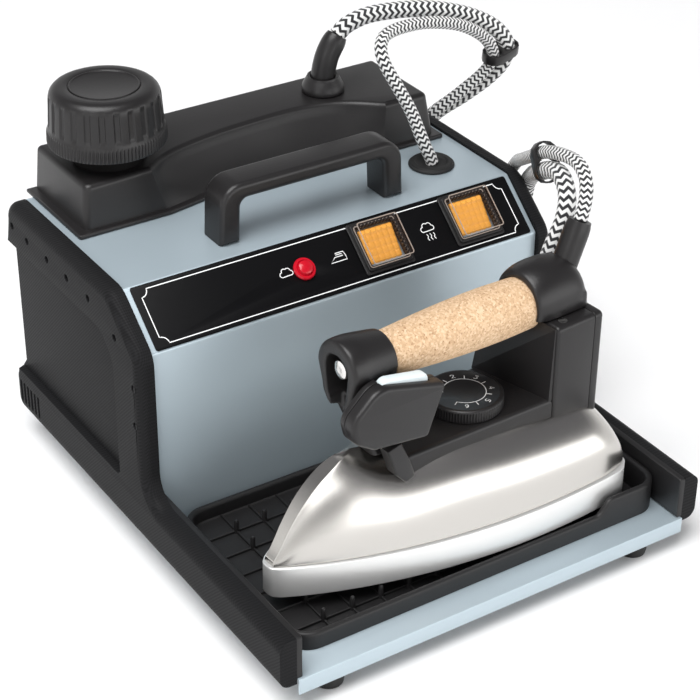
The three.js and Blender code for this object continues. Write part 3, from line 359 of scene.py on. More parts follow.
def make(name, solids, matrix=HERE, sharp=32):
    """One piece from one or more solids in millimetres; sharp is the angle above which an edge stays hard"""
    points = []
    faces = []
    for some_points, some_faces in solids:
        start = len(points)
        points += [tuple(MM * (matrix @ Vector(point))) for point in some_points]
        faces += [tuple(start + i for i in face) for face in some_faces]
    mesh = bpy.data.meshes.new(name)
    mesh.from_pydata(points, [], faces)
    edit(mesh, lambda work: bmesh.ops.recalc_face_normals(work, faces=work.faces))
    smooth(mesh, sharp)
    return link(name, mesh)


def smooth(mesh, sharp=32):
    mesh.shade_smooth()
    mesh.set_sharp_from_angle(angle=radians(sharp))


def bake(piece, sharp=32):
    """Replaces a piece's mesh by what its modifiers make of it"""
    bpy.context.view_layer.update()
    evaluated = piece.evaluated_get(bpy.context.evaluated_depsgraph_get())
    mesh = bpy.data.meshes.new_from_object(evaluated)
    piece.modifiers.clear()
    piece.data = mesh
    mesh.name = piece.name
    smooth(mesh, sharp)
    return piece


def modify(piece, kind, **settings):
    modifier = piece.modifiers.new(kind.lower(), kind)
    for name, value in settings.items():
        setattr(modifier, name, value)


def join_flat(work):
    """Joins doubled points, and the faces that lie in one plane"""
    limit = radians(1)
    bmesh.ops.remove_doubles(work, verts=work.verts, dist=1e-6)
    bmesh.ops.dissolve_limit(work, angle_limit=limit, verts=work.verts, edges=work.edges, delimit={"NORMAL"})


def refined(node, name, width=0.5):
    """A CAD node's shape with its hard edges rounded"""
    mesh = frame["nodes"][node].data.copy()
    mesh.materials.clear()
    edit(mesh, join_flat)
    piece = link(name, mesh)
    modify(piece, "BEVEL", width=width * MM, segments=2, limit_method="ANGLE", angle_limit=radians(35))
    return bake(piece)


def melt(piece, cell, rounds):
    """Runs a piece's solids together into one skin, and eases its edges"""
    modify(piece, "REMESH", mode="VOXEL", voxel_size=cell * MM)
    modify(piece, "SMOOTH", factor=0.5, iterations=rounds)
    return bake(piece, 60)


def moulded(name, solids, hollows, matrix, cell=0.6, rounds=7):
    """Moulding whose solids and hollows all flow into each other"""
    piece = melt(make(name, solids, matrix), cell, 2)
    for hollow in hollows:
        carve(piece, [hollow], matrix)
    return melt(piece, cell, rounds)


def carve(piece, solids, matrix=HERE):
    """Cuts closed solids out of a piece"""
    tool = make("tool", solids, matrix)
    modify(piece, "BOOLEAN", object=tool, operation="DIFFERENCE", solver="EXACT")
    bake(piece)
    bpy.data.objects.remove(tool)
    return piece


def coat(thing, finish):
    thing.data.materials.clear()
    thing.data.materials.append(finish)


def dress(piece, slot, finish=None):
    """Gives a piece the finish of its material slot, unless it has a finish of its own"""
    coat(piece, finish or FINISHES[slot])


def settle(piece, body, slot, *nodes, finish=None):
    """Hands a finished piece to its body, gives it the finish of its material slot or its own, and hides the
    CAD nodes it stands for
    """
    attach(piece, body)
    dress(piece, slot, finish)
    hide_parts(*nodes)


def add(name, solids, body, slot, *nodes, matrix=HERE, sharp=32, finish=None):
    """Makes a piece from solids and settles it"""
    settle(make(name, solids, matrix, sharp), body, slot, *nodes, finish=finish)


# ---- Finishes ----


class Finish:
    """A material wired up from nodes around its shader"""

    def __init__(self, name, color, roughness, metallic=0.0):
        self.material = bpy.data.materials.new(name)
        self.material.use_nodes = True
        self.tree = self.material.node_tree
        self.shader = self.tree.nodes["Principled BSDF"]
        self.set({"Base Color": (*color, 1), "Roughness": roughness, "Metallic": metallic})
        self.place = self.node("TexCoord").outputs["Object"]

    def set(self, values, node=None):
        target = node or self.shader
        for name, value in values.items():
            if isinstance(value, bpy.types.NodeSocket):
                self.tree.links.new(value, target.inputs[name])
            else:
                target.inputs[name].default_value = value

    def node(self, kind, values=None, **settings):
        made = self.tree.nodes.new("ShaderNode" + kind)
        for name, value in settings.items():
            setattr(made, name, value)
        self.set(values or {}, made)
        return made

    def math(self, operation, a, b=0.5):
        return self.node("Math", {0: a, 1: b}, operation=operation).outputs[0]

    def noise(self, scale, detail=4.0, stretch=(1, 1, 1), turn=0.0):
        spot = self.node("Mapping", {"Vector": self.place, "Rotation": (0, 0, turn), "Scale": stretch})
        values = {"Vector": spot.outputs[0], "Scale": scale, "Detail": detail, "Roughness": 0.6}
        return self.node("TexNoise", values).outputs[0]

    def ramp(self, value, stops):
        made = self.node("ValToRGB", {"Fac": value})
        while len(made.color_ramp.elements) < len(stops):
            made.color_ramp.elements.new(0.5)
        for element, (spot, color) in zip(made.color_ramp.elements, stops):
            element.position = spot
            element.color = (*color, 1)
        return made.outputs["Color"]

    def spread(self, value, low, high, start=0.0, end=1.0):
        """Stretches the range from start to end over the range from low to high"""
        values = {"Value": value, "From Min": start, "From Max": end, "To Min": low, "To Max": high}
        return self.node("MapRange", values).outputs[0]

    def grain(self, height, strength, distance=0.0002):
        bump = self.node("Bump", {"Height": height, "Strength": strength, "Distance": distance})
        self.set({"Normal": bump.outputs[0]})
        return self

    def varied(self, value, low, high):
        self.set({"Roughness": self.spread(value, low, high)})


def plastic(name, color, low, high, scale=900.0, strength=0.25, shine=0.4):
    """Moulded plastic or rubber with a fine spark-eroded grain"""
    finish = Finish(name, color, low)
    finish.set({"Specular IOR Level": shine})
    finish.grain(finish.noise(scale, 3), strength)
    finish.varied(finish.noise(40, 4), low, high)
    return finish.material


def brushed(name, color, low, high, stretch, turn=0.0, metal=1.0, depth=0.1):
    """Metal brushed in one direction"""
    finish = Finish(name, color, low, metal)
    hair = finish.noise(1.0, 5, stretch, turn)
    finish.grain(hair, depth, 0.00005)
    finish.varied(hair, low, high)
    return finish.material


def woven():
    """Dark moulding with a fine twill grain"""
    finish = Finish("woven", (0.02, 0.02, 0.021), 0.5)
    finish.set({"Specular IOR Level": 0.06})
    parts = finish.node("SeparateXYZ", {"Vector": finish.place}).outputs
    waves = TAU / 0.0021
    along = finish.math("SINE", finish.math("MULTIPLY", finish.math("ADD", parts["Y"], parts["X"]), waves))
    up = finish.math("SINE", finish.math("MULTIPLY", finish.math("SUBTRACT", parts["Z"], parts["X"]), waves))
    shade = finish.spread(finish.math("MULTIPLY", along, up), 0, 1, -0.5, 0.5)
    tone = finish.ramp(shade, [(0, (0.01, 0.01, 0.0105)), (1, (0.016, 0.016, 0.017))])
    finish.set({"Base Color": tone})
    finish.varied(shade, 0.56, 0.46)
    return finish.grain(shade, 0.2).material


def enamel():
    finish = Finish("paint", (0.45, 0.535, 0.585), 0.4, 0.42)
    finish.set({"Coat Weight": 0.2, "Coat Roughness": 0.2})
    finish.varied(finish.noise(25, 4), 0.36, 0.42)
    return finish.grain(finish.noise(1200, 2), 0.06).material


def corkwood():
    """Pressed cork granules with dark specks"""
    finish = Finish("cork", (0.72, 0.47, 0.25), 0.8)
    cells = finish.node("TexVoronoi", {"Vector": finish.place, "Scale": 900.0}).outputs["Color"]
    tones = [(0, (0.48, 0.3, 0.165)), (0.5, (0.63, 0.43, 0.26)), (1, (0.76, 0.57, 0.385))]
    specks = finish.spread(finish.noise(800, 5), 0, 1, 0.58, 0.68)
    values = {"Factor": specks, 6: finish.ramp(cells, tones), 7: (0.34, 0.17, 0.07, 1)}
    finish.set({"Base Color": finish.node("Mix", values, data_type="RGBA").outputs[2]})
    return finish.grain(finish.math("SUBTRACT", 1.0, specks), 0.5, 0.0004).material


def braided(name, repeat):
    """Textile braid, laid out by the cord's own length and girth: light yarn zigzags over dark"""
    finish = Finish(name, (0.3, 0.3, 0.31), 0.9)
    finish.set({"Sheen Weight": 0.3})
    where = finish.node("UVMap").outputs[0]
    parts = finish.node("SeparateXYZ", {"Vector": where}).outputs
    girth = finish.math("PINGPONG", finish.math("MULTIPLY", parts["Y"], 6.0), 0.5)
    along = finish.math("MULTIPLY", parts["X"], repeat)
    zigzag = finish.math("FRACT", finish.math("ADD", along, girth))
    light = finish.spread(finish.math("PINGPONG", zigzag, 0.5), 0, 1, 0.2, 0.3)
    finish.set({"Base Color": finish.ramp(light, [(0, (0.012, 0.012, 0.014)), (1, (0.74, 0.74, 0.73))])})
    yarn = finish.math("SINE", finish.math("MULTIPLY", finish.math("SUBTRACT", along, girth), TAU * 3))
    fuzz = finish.math("ADD", finish.math("MULTIPLY", yarn, 0.25), finish.noise(1500, 3))
    return finish.grain(fuzz, 0.5, 0.0003).material


def lens(name, color, glow, roughness, see_through=1.0):
    finish = Finish(name, color, roughness)
    finish.set({"Emission Color": (*color, 1), "Emission Strength": glow, "Alpha": see_through})
    finish.varied(finish.noise(60, 3), roughness, roughness + 0.06)
    return finish.grain(finish.noise(300, 2), 0.03).material


FINISHES = {
    "paint": enamel(),
    BLACK: plastic(BLACK, (0.0125, 0.0115, 0.0118), 0.32, 0.42),
    "woven_plastic": woven(),
    "mat_rubber": plastic("mat_rubber", (0.0095, 0.009, 0.0095), 0.42, 0.55, 500, 0.3),
    "foot_rubber": plastic("foot_rubber", (0.01, 0.01, 0.01), 0.55, 0.7),
    "label_film": plastic("label_film", (0.004, 0.004, 0.0045), 0.3, 0.38, 700, 0.08, 0.12),
    "amber_lens": lens("amber_lens", (0.92, 0.41, 0.065), 0.27, 0.3),
    "clear_lens": lens("clear_lens", (0.06, 0.035, 0.025), 0.0, 0.05, 0.14),
    "red_lens": lens("red_lens", (0.5, 0.004, 0.016), 0.06, 0.18),
    "stainless": brushed("stainless", (0.6, 0.58, 0.55), 0.2, 0.28, (25, 2600, 2600), -IRON_TURN, 1.0, 0.05),
    "aluminium": brushed("aluminium", (0.8, 0.8, 0.79), 0.3, 0.46, (30, 2200, 2200), -IRON_TURN, 0.7, 0.6),
    "brass": brushed("brass", (0.62, 0.48, 0.2), 0.25, 0.4, (300, 300, 300)),
    "cork": corkwood(),
    "pale_button": plastic("pale_button", (0.7, 0.78, 0.8), 0.3, 0.4, 900, 0.08),
    "seal_rubber": plastic("seal_rubber", (0.2, 0.05, 0.03), 0.6, 0.7),
    "braid": braided("braid", 2.4),
    "ceramic": plastic("ceramic", (0.75, 0.72, 0.66), 0.5, 0.6),
}
# Print on the label and the dial
PRINT = plastic("print", (0.85, 0.86, 0.86), 0.4, 0.5, 900, 0.05)
CHROME = brushed("chrome", (0.78, 0.77, 0.75), 0.12, 0.2, (200, 200, 200))
# Near-black matte finish for the filler neck ring: painted shade, darker than the rubber so the neck reads as
# lying in the cap's shadow
NECK_SHADE = plastic("neck_painted_shade", (0.004, 0.0035, 0.0035), 0.6, 0.7, shine=0.1)
# Pale, half-clear finish for the rims of the splash hoods: painted highlights along their edges
HOOD_HIGHLIGHT = lens("painted_hood_highlight", (0.5, 0.42, 0.36), 0.0, 0.12, 0.6)


# ---- Cords ----

HOSE_EXIT = (73.5, 122.5, 220)
CABLE_EXIT = (94.5, 52.5, 160.5)
HOSE_OUT = [
    HOSE_EXIT, (75.6, 122.5, 222.1), (82, 122.3, 225.6), (95, 122, 228), (115, 120, 227.5), (136, 116, 225),
    (159, 112, 218), (177, 109, 208), (187, 107, 196), (187, 108, 184), (179, 112, 173), (165, 119, 161),
    (153, 130, 148), (149, 143, 130), (148, 155, 108), (147, 165, 82), (144, 171, 54), (139, 174, 30),
    (133, 174, 17), (120, 176, 16),
]
HOSE_BACK = [
    (174, 215, 5.4), (171, 190, 5.4), (168, 160, 5.4), (167, 128, 5.4), (165, 100, 5.4), (160, 79, 7),
    (153.5, 60, 18), (149, 46, 40), (146.5, 37, 68), (145, 31, 96), (144, 28, 122), (143.4, 25.5, 140),
    (142.5, 22.2, 148.4), (140.6, 17, 154.6), (136, 9, 161), (127, -4, 169), (118, -18, 178),
    (111, -34, 188),
    (107, -48, 193), (103, -59, 190), (99.4, -65, 184), (94.8, -68, 175), (90, -68, 165), (86.5, -67, 153),
    (85.5, -66.6, 143),
]
CABLE_OUT = [
    CABLE_EXIT, (93.5, 53, 164), (90, 56, 174), (86, 63, 191), (80, 69, 206), (75.5, 76, 219),
    (77, 82, 226.5),
    (85, 88, 230), (101, 92, 230), (121, 95, 227), (145, 98, 219), (165, 101, 206), (174.5, 103, 192),
    (172, 107, 180), (159, 112, 168), (144, 119, 154.5), (140, 128, 140), (139.2, 140, 120), (138, 151, 98),
    (134, 159, 72), (126, 164, 44), (112, 166.6, 20), (92, 166.6, 7), (70, 166.4, 4.2), (40, 165.6, 4.2),
    (12, 162.4, 5.2), (2, 164, 7.8), (-8, 167, 11),
]
CABLE_BACK = [
    (35.4, 192, 4.4), (37, 180, 8), (41, 170, 13.6), (51, 160.6, 13), (66, 158, 5.8), (86, 158, 4.2),
    (110, 158.2, 4.2), (132, 157.4, 4.2), (148, 149, 4.2), (156, 130, 4.2), (155, 105, 4.2), (152, 84, 7),
    (148, 69, 20), (145.5, 59, 42), (143.6, 52, 70), (142.3, 47, 98), (141.2, 43, 124), (140.6, 39.8, 142),
    (140.2, 36.9, 149), (137.8, 27.6, 160.4), (129.5, 13, 170), (119, -9, 184), (112.5, -28, 196),
    (109, -46, 203), (107, -62, 205.5), (104.5, -72, 202), (102, -77, 196), (99, -79.6, 189),
]
CABLE_END = tuple(IRON @ Vector((210.5, 0, 150.5)))

# Coils on the floor, wound clockwise from above: each entry is (turns so far, radius, height)
COIL_START = -90
HOSE_CENTRE = (102, 241)
HOSE_COIL = [
    (0, 57.5, 15.4), (0.45, 57.5, 15.6), (0.62, 52.5, 15.8), (0.72, 51.5, 14.6), (0.8, 51.5, 9),
    (0.87, 51.8, 5.6), (1.0, 52.2, 5.4), (1.5, 52.2, 5.4), (1.62, 54.5, 5.4), (1.76, 62.4, 5.4),
    (2.2, 62.8, 5.4), (2.45, 62.8, 5.4), (2.58, 69, 5.4), (2.66, 73, 5.4), (2.75, 73.4, 5.4),
]
CABLE_CENTRE = (-20, 215)
CABLE_COIL = [
    (0, 42, 12.1), (0.45, 42, 12.1), (0.62, 38.5, 12.1), (0.72, 38.05, 11), (0.8, 38.05, 7),
    (0.87, 38.05, 4.4), (1.0, 38.05, 4.2), (1.5, 38.05, 4.2), (1.62, 40, 4.2), (1.76, 45.8, 4.2),
    (2.2, 46, 4.2), (2.5, 46, 4.2), (2.66, 50, 4.2), (2.73, 54, 4.2),
]


def wound(centre, plan):
    """Points of a coil, sixteen to a turn"""
    x, y = centre
    points = []
    for step in range(int(plan[-1][0] * 16) + 1):
        turns = step / 16
        after = next((i for i, entry in enumerate(plan) if entry[0] >= turns and i), len(plan) - 1)
        low, high = plan[after - 1], plan[after]
        t = smoothstep(turns, low[0], high[0])
        angle = radians(COIL_START) - TAU * turns
        radius = mix(low[1], high[1], t)
        points.append((x + radius * cos(angle), y + radius * sin(angle), mix(low[2], high[2], t)))
    return points


def even(points, spacing):
    """Points at even distances along a smooth line"""
    line = [Vector(point) for point in spline(points, 12)]
    spots = [line[0]]
    walked = 0.0
    for before, after in zip(line, line[1:]):
        step = (after - before).length
        while step and walked + step >= spacing * len(spots):
            spots.append(before.lerp(after, (spacing * len(spots) - walked) / step))
        walked += step
    spots.append(line[-1])
    return [tuple(spot) for spot in spots]


def cord_mesh(name, path, radius, sides=20):
    """Tube whose UV runs along its length in diameters and once around its girth"""
    points, faces = tube(path, radius, sides)
    mesh = bpy.data.meshes.new(name)
    mesh.from_pydata([tuple(MM * c for c in point) for point in points], [], faces)
    layer = mesh.uv_layers.new(name="UVMap")
    length = [0.0]
    for before, after in zip(path, path[1:]):
        length.append(length[-1] + (Vector(after) - Vector(before)).length / (2 * radius))
    for face in mesh.polygons:
        seam = {index % sides for index in (mesh.loops[i].vertex_index for i in face.loop_indices)}
        wraps = len(face.loop_indices) == 4 and seam == {0, sides - 1}
        for i in face.loop_indices:
            ring, side = divmod(mesh.loops[i].vertex_index, sides)
            layer.data[i].uv = (length[ring], 1.0 if wraps and side == 0 else side / sides)
    smooth(mesh, 60)
    return link(name, mesh)


def lay_cord(name, path, radius, nodes):
    piece = cord_mesh(name, path, radius)
    dress(piece, "braid")
    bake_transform(piece)
    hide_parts(*nodes)


def make_cords():
    clip = refined("cord_clip_cabinet", "clip_cabinet", 0.8)
    settle(clip, "base", BLACK, "cord_clip_cabinet")
    iron_clip = refined("cord_clip_iron", "clip_iron", 0.8)
    dress(iron_clip, BLACK)
    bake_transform(iron_clip)
    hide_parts("cord_clip_iron")
    hose = even([*HOSE_OUT, *wound(HOSE_CENTRE, HOSE_COIL)[1:], *HOSE_BACK], CORD_STEP)
    cable = even([*CABLE_OUT, *wound(CABLE_CENTRE, CABLE_COIL), *CABLE_BACK, CABLE_END], CORD_STEP)
    hose_nodes = ["hose_lead_out", "hose_coil", "hose_lead_return", "hose_lead_iron"]
    cable_nodes = ["cable_lead_out", "cable_coil", "cable_lead_return", "cable_lead_iron"]
    lay_cord("steam_hose", hose, HOSE_RADIUS, hose_nodes)
    lay_cord("power_cable", cable, CABLE_RADIUS, cable_nodes)


make_camera()
make_cords()


# ---- Cabinet ----


def make_cabinet():
    sheet = 1.2
    low_bend = sheet * tan((pi / 2 - SLOPE_ANGLE) / 2)
    high_bend = sheet * tan(SLOPE_ANGLE / 2)
    side = rounded([
        (WALL_Y, BASE_TOP + 0.3), (WALL_Y + sheet, BASE_TOP + 0.3),
        (WALL_Y + sheet, FOLD_LOW - low_bend, 1),
        (FOLD_HIGH_Y + high_bend, BODY_TOP - sheet, 1), (REAR_Y - 1.5, BODY_TOP - sheet),
        (REAR_Y - 1.5, BODY_TOP), (FOLD_HIGH_Y, BODY_TOP, 2.2), (WALL_Y, FOLD_LOW, 2.2),
    ], 5)
    shell = [plate(side, -METAL_HALF, METAL_HALF, 0.3)]
    add("cabinet_front", shell, "base", "paint", "cabinet_shell", matrix=UPRIGHT_YZ)
    settle(refined("base_pan", "base_tray", 0.4), "base", "paint", "base_pan")
    settle(refined("rear_cover", "rear_wall", 0.25), "base", "paint", "rear_cover")


VENTS = [
    (136.6, 146), (117.4, 145), (92, 145.4), (67.6, 145.6), (42, 145.6), (12.6, 136.4), (-6.4, 115),
    (-6, 91.5),
]


def rim_outline():
    """Raised band of a side panel, open towards the rear, and how much each of its edges is rounded"""
    outer = [
        (RAIL_FRONT - 20, 17), (153, 17, 8), (153, 46.9, 8),
        (17, 46.9, 3), (17, 119, 10), (28, 132.5, 14), (145.5, 132.5),
        (145.5, 160.6, 12), (19, 160.6, 16), (-12.6, 134.6, 14), (-12.6, RAIL_TOP, 16),
        (RAIL_FRONT - 20, RAIL_TOP),
    ]
    line = rounded(outer, 8)
    inner = [16 < y < 150 and 46.5 < z < 132.8 for y, z in line]
    return line, [0.15 if within else 1.0 for within in inner]


def make_panel(side, matrix):
    pockets = [(circle(y, z, 2.0, 24), PANEL_OUT - 3) for y, z in VENTS]
    louvres = [121 + 4.6 * k for k in range(6)]
    pockets += [(rounded(rectangle(y, y + 2, 24, 38.5, 0.9), 3), PANEL_OUT - 2.5) for y in louvres]
    line, share = rim_outline()
    field = rounded([
        (17, 30), (152, 30), (152, 44, 3), (145.5, 51.9, 2), (145.5, 158, 11), (22, 158, 14), (-9, 133, 12),
        (-9, 30),
    ], 6)
    strip = rounded([(RAIL_FRONT, 20.6), (-9.9, 20.6), (-9.9, RAIL_TOP), (RAIL_FRONT, RAIL_TOP, 1.5)], 4)
    solids = [
        plate(line, PANEL_IN, PANEL_OUT, 6, pockets, 0, 7, share, (0.3, 1)),
        plate(field, PANEL_IN + 0.2, PANEL_FIELD, 2.5, steps=4),
    ]
    panel = make(f"panel_{side}", solids, matrix, 30)
    cut_ahead(panel, RAIL_FRONT)
    settle(panel, "base", "woven_plastic", f"side_panel_{side}")
    rail = [plate(strip, RAIL_IN, PANEL_IN + 0.4, 0.3, lower_edge=0.8)]
    add(f"rail_{side}", rail, "base", "mat_rubber", matrix=matrix)


def cut_ahead(piece, y):
    """Trims away what lies ahead of a plane across the object, and closes the cut"""
    def trim(work):
        parts = [*work.verts, *work.edges, *work.faces]
        spot = (0, MM * y, 0)
        bmesh.ops.bisect_plane(work, geom=parts, plane_co=spot, plane_no=(0, -1, 0), clear_outer=True)
        bmesh.ops.holes_fill(work, edges=[edge for edge in work.edges if len(edge.link_faces) == 1], sides=0)

    edit(piece.data, trim)
    smooth(piece.data, 30)


def make_feet():
    profile = [(6.8, 0), (7.8, 0.8), (8.4, 4), (9.9, 17.9), (9.6, 18.7)]
    for end, y in (("front", -141), ("rear", 118)):
        for side, x in (("left", -100), ("right", 100)):
            add(
                f"rubber_foot_{end}_{side}", [turned(profile, x, y, 40)], "base", "foot_rubber",
                f"foot_{end}_{side}",
            )


# ---- Mat ----

MAT = (-116.0, 121.2, -138.0, -12.0)
MAT_FLOOR = 21.8
MAT_RIM = 30.5
MAT_RIM_HIGH = 39.0
PIN_PITCH = 17.7
PIN_TOP = 30.0


def dense(points, spacing):
    """Closed outline with its long sides broken up"""
    line = []
    for a, b in zip(points, points[1:] + points[:1]):
        count = max(1, round(dist(a, b) / spacing))
        line += [(mix(a[0], b[0], k / count), mix(a[1], b[1], k / count)) for k in range(count)]
    return line


def rim_height(x, y):
    """The rim steps up around its right front corner"""
    along_front = smoothstep(x, 77, 85) if y < -100 else 0
    along_side = 1 - smoothstep(y, -101.5, -99) if x > 100 else 1
    return mix(MAT_RIM, MAT_RIM_HIGH, along_front * along_side)


def make_mat():
    outline = dense(rounded(rectangle(*MAT, 14), 10), 2.0)
    across = [(0, -2.4), (0.15, -1.2), (0.7, -0.35), (1.7, 0), (2.7, -0.15), (3.6, -0.8), (4.0, -2.0)]
    rings = [lift(outline, BASE_TOP + 0.3)]
    for inward, drop in across:
        moved = inset(outline, inward)
        rings.append([(x, y, rim_height(x0, y0) + drop) for (x, y), (x0, y0) in zip(moved, outline)])
    rings.append(lift(inset(outline, 4.2), MAT_FLOOR + 0.8))
    rings.append(lift(inset(outline, 5.0), MAT_FLOOR))
    solids = [loft(rings)]
    left, right, front, back = MAT
    xs = [-91 + PIN_PITCH * k for k in range(12)]
    ys = [-122 + PIN_PITCH * k for k in range(6)]
    tip = [(1.3, PIN_TOP - 1), (0.8, PIN_TOP - 0.2), (0.1, PIN_TOP)]
    pin = [(1.9, MAT_FLOOR - 0.2), (1.45, MAT_FLOOR + 1.6), *tip]
    solids += [turned(pin, x, y, 12) for x in xs for y in ys]
    low, high = MAT_FLOOR - 0.4, MAT_FLOOR + 1.5
    for x in [xs[0] - PIN_PITCH, *xs]:
        solids.append(block(x - 0.5, x + 0.5, front + 4.5, back - 4.5, low, high, 0.3))
    solids += [block(left + 4.5, right - 4.5, y - 0.5, y + 0.5, low, high, 0.3) for y in ys]
    add("rest_mat", solids, "base", "mat_rubber", "iron_rest_mat", sharp=40)


# ---- Controls on the slope ----

SWITCHES = {"iron": (26.8, 20.6), "boiler": (88.4, 20.6)}
LAMP = (-23.2, 19.6)


def stroke(line, width, z=PRINT_Z, closed=False):
    """Flat printed line along points"""
    count = len(line)
    left = []
    right = []
    for i, (x, y) in enumerate(line):
        before = line[i - 1] if closed or i else line[i]
        after = line[(i + 1) % count] if closed or i + 1 < count else line[i]
        way = unit(complex(*after) - complex(*before)) * 1j * width / 2
        left.append((x + way.real, y + way.imag, z))
        right.append((x - way.real, y - way.imag, z))
    joints = [(i, (i + 1) % count) for i in range(count if closed else count - 1)]
    return left + right, [(i, j, count + j, count + i) for i, j in joints]


def cloud(x, y, size):
    """Outline of a small cloud of steam, whose lobes are (x, y, radius, first angle, last angle)"""
    lobes = [
        (-1.0, -0.2, 0.55, 250, 100), (-0.35, 0.45, 0.6, 190, 60), (0.5, 0.4, 0.62, 130, -10),
        (1.05, -0.15, 0.5, 80, -80),
    ]
    line = []
    for cx, cy, radius, first, last in lobes:
        line += arc(x + size * cx, y + size * cy, size * radius, first, last, 6)
    return line


def small_iron(x, y, size):
    """Outline of an iron seen from the side"""
    spots = [
        (-1.5, -0.7), (1.5, -0.7), (1.5, 0.05), (1.3, 0.75), (-0.2, 0.75), (-0.2, 0.45), (0.9, 0.45),
        (1.0, 0.1), (-0.5, 0.1),
    ]
    return [(x + size * a, y + size * b) for a, b in spots]


def square(half_x, half_y, radius, steps):
    return rounded(rectangle(-half_x, half_x, -half_y, half_y, radius), steps)


def make_label():
    film = rounded(rectangle(-121.5, 121.5, 0.8, SLOPE_LENGTH - 0.8, 1.5), 4)
    window = 13.2
    holes = []
    for x, y in SWITCHES.values():
        holes.append((rounded(rectangle(x - window, x + window, y - window, y + window, 1), 2), None))
    holes.append((circle(*LAMP, 5.2, 28), None))
    label = [plate(film, 0.3, 0.8, 0.15, holes, 0.1, 2)]
    add("label", label, "base", "label_film", "control_label", matrix=SLOPE)
    x0, x1, y0, y1 = -117.0, 116.0, 3.4, SLOPE_LENGTH - 3.6
    border = []
    for x, y, turn in ((x0, y0, 0), (x1, y0, 90), (x1, y1, 180), (x0, y1, 270)):
        border += arc(x, y, 4.2, turn + 90, turn, 8)
    signs = [cloud(-34, 20.5, 2.6), small_iron(-1, 20.5, 3.4), cloud(59, 21.5, 2.8)]
    marks = [stroke(border, 0.55, closed=True)] + [stroke(sign, 0.5, closed=True) for sign in signs]
    for x in (57, 59.2, 61.4):
        marks.append(stroke([(x, 18), (x + 0.5, 16.6), (x - 0.3, 15.4), (x + 0.3, 14)], 0.5))
    add("label_print", marks, "base", "label_film", matrix=SLOPE, finish=PRINT)


def rocker_solid():
    """Rocker with a top of small prisms that slopes down towards the front"""
    steps = 60
    rings = []
    for i in range(steps + 1):
        t = i / steps
        y = 19.6 * t - 9.8
        level = mix(0.7, 2.4, t * 2) if t < 0.5 else mix(2.4, 4.3, t * 2 - 1)
        end = 0.5 * (plateau(t, 0, 0.04, 0.96, 1) - 1)
        ring = [(-10.8, y, -4), (10.8, y, -4)]
        for k in range(steps + 1):
            s = 1 - k / steps
            side = 0.4 * (plateau(s, 0, 0.04, 0.96, 1) - 1)
            prism = -0.28 * (abs(cos(pi * 6 * s)) ** 6 + abs(cos(pi * 5 * t)) ** 6)
            ring.append((21.6 * s - 10.8, y, level + end + side + prism))
        rings.append(ring)
    return loft(rings)


def make_switches():
    opening = square(11.6, 11.6, 0.8, 3)
    frame_solids = [
        plate(square(16, 15.6, 1.4, 4), 1.1, 2.1, 0.35, [(opening, None)]),
        plate(square(14.4, 14, 1.2, 4), 1.2, 3.5, 0.4, [(opening, None)]),
        block(-12.9, 12.9, -12.9, 12.9, -20, -8.5),
    ]
    for k in range(9):
        low, high = 2.4 * k - 10.4, 2.4 * k - 9.2
        frame_solids.append(block(11.1, 12.7, low, high, 3.3, 6.2, 0.15))
        frame_solids.append(block(low, high, 11.1, 12.4, 3.3, 6.2, 0.15))
    hood = [block(-13.4, 13.4, -13, 13, 3.8, 9.4, 0.7, 1.6)]
    # Thin rims along the hoods' lower and upper edges, finished pale as painted highlights
    outer = square(13.3, 12.9, 1.6, 3)
    highlight_rims = [plate(outer, z, z + 0.3, 0, [(inset(outer, 0.55), None)], 0) for z in (3.9, 9.05)]
    for name, (x, y) in SWITCHES.items():
        at = SLOPE @ Matrix.Translation((x, y, 0))
        add(f"{name}_switch_frame", frame_solids, "base", BLACK, f"{name}_switch_bezel", matrix=at)
        body, lens_name = f"{name}_rocker_body", f"{name}_rocker_lens"
        add(lens_name, [rocker_solid()], body, "amber_lens", f"{name}_rocker", matrix=at, sharp=45)
        add(f"{name}_splash_hood", hood, "base", "clear_lens", f"{name}_splash_cover", matrix=at)
        add(f"{name}_hood_highlight_rim", highlight_rims, "base", "clear_lens", matrix=at, finish=HOOD_HIGHLIGHT)
    ring = [
        (6.4, 1.1), (6.5, 2.2), (6.0, 3.0), (4.9, 3.1), (4.6, 2.6), (4.4, 3.4), (3.9, 4.4),
        (2.6, 5.0), (0.1, 5.2),
    ]
    add("lamp_lens", [turned(ring, *LAMP, 40)], "base", "red_lens", "pilot_lamp", matrix=SLOPE)


# ---- Handle, tank cover, cap and outlets ----


def make_handle():
    outline = rounded([
        (-59.5, COVER_BASE), (-47, COVER_BASE), (-46, 184.5, 5), (46, 184.5, 5), (47, COVER_BASE),
        (59.5, COVER_BASE), (58, 194, 13), (-58, 194, 13),
    ], 8)
    handle = [plate(outline, -51.4, -30.4, 3.2, lower_edge=3.2, steps=6)]
    add("lift_handle", handle, "base", BLACK, "carry_handle", matrix=UPRIGHT_XZ)


COVER_FOOT = [(-64, 81.5), (-42, 85.5), (-20, 91), (8, 95), (35, 94.5), (60, 89), (80, 81.5)]
COVER_CROWN = [(-72, 85.5), (-54, 99), (-22, 107), (12, 110), (40, 110), (65, 103), (85, 87)]


def cover_line(scoop, left, right, front_left, front_right):
    curve = spline(scoop, 5)
    return rounded([
        (left, front_left, 4.4), (*curve[0], 0.6), *curve[1:-1], (*curve[-1], 0.6),
        (right, front_right, 4.4),
        (right, 146, 3), (left, 146, 3),
    ], 5)


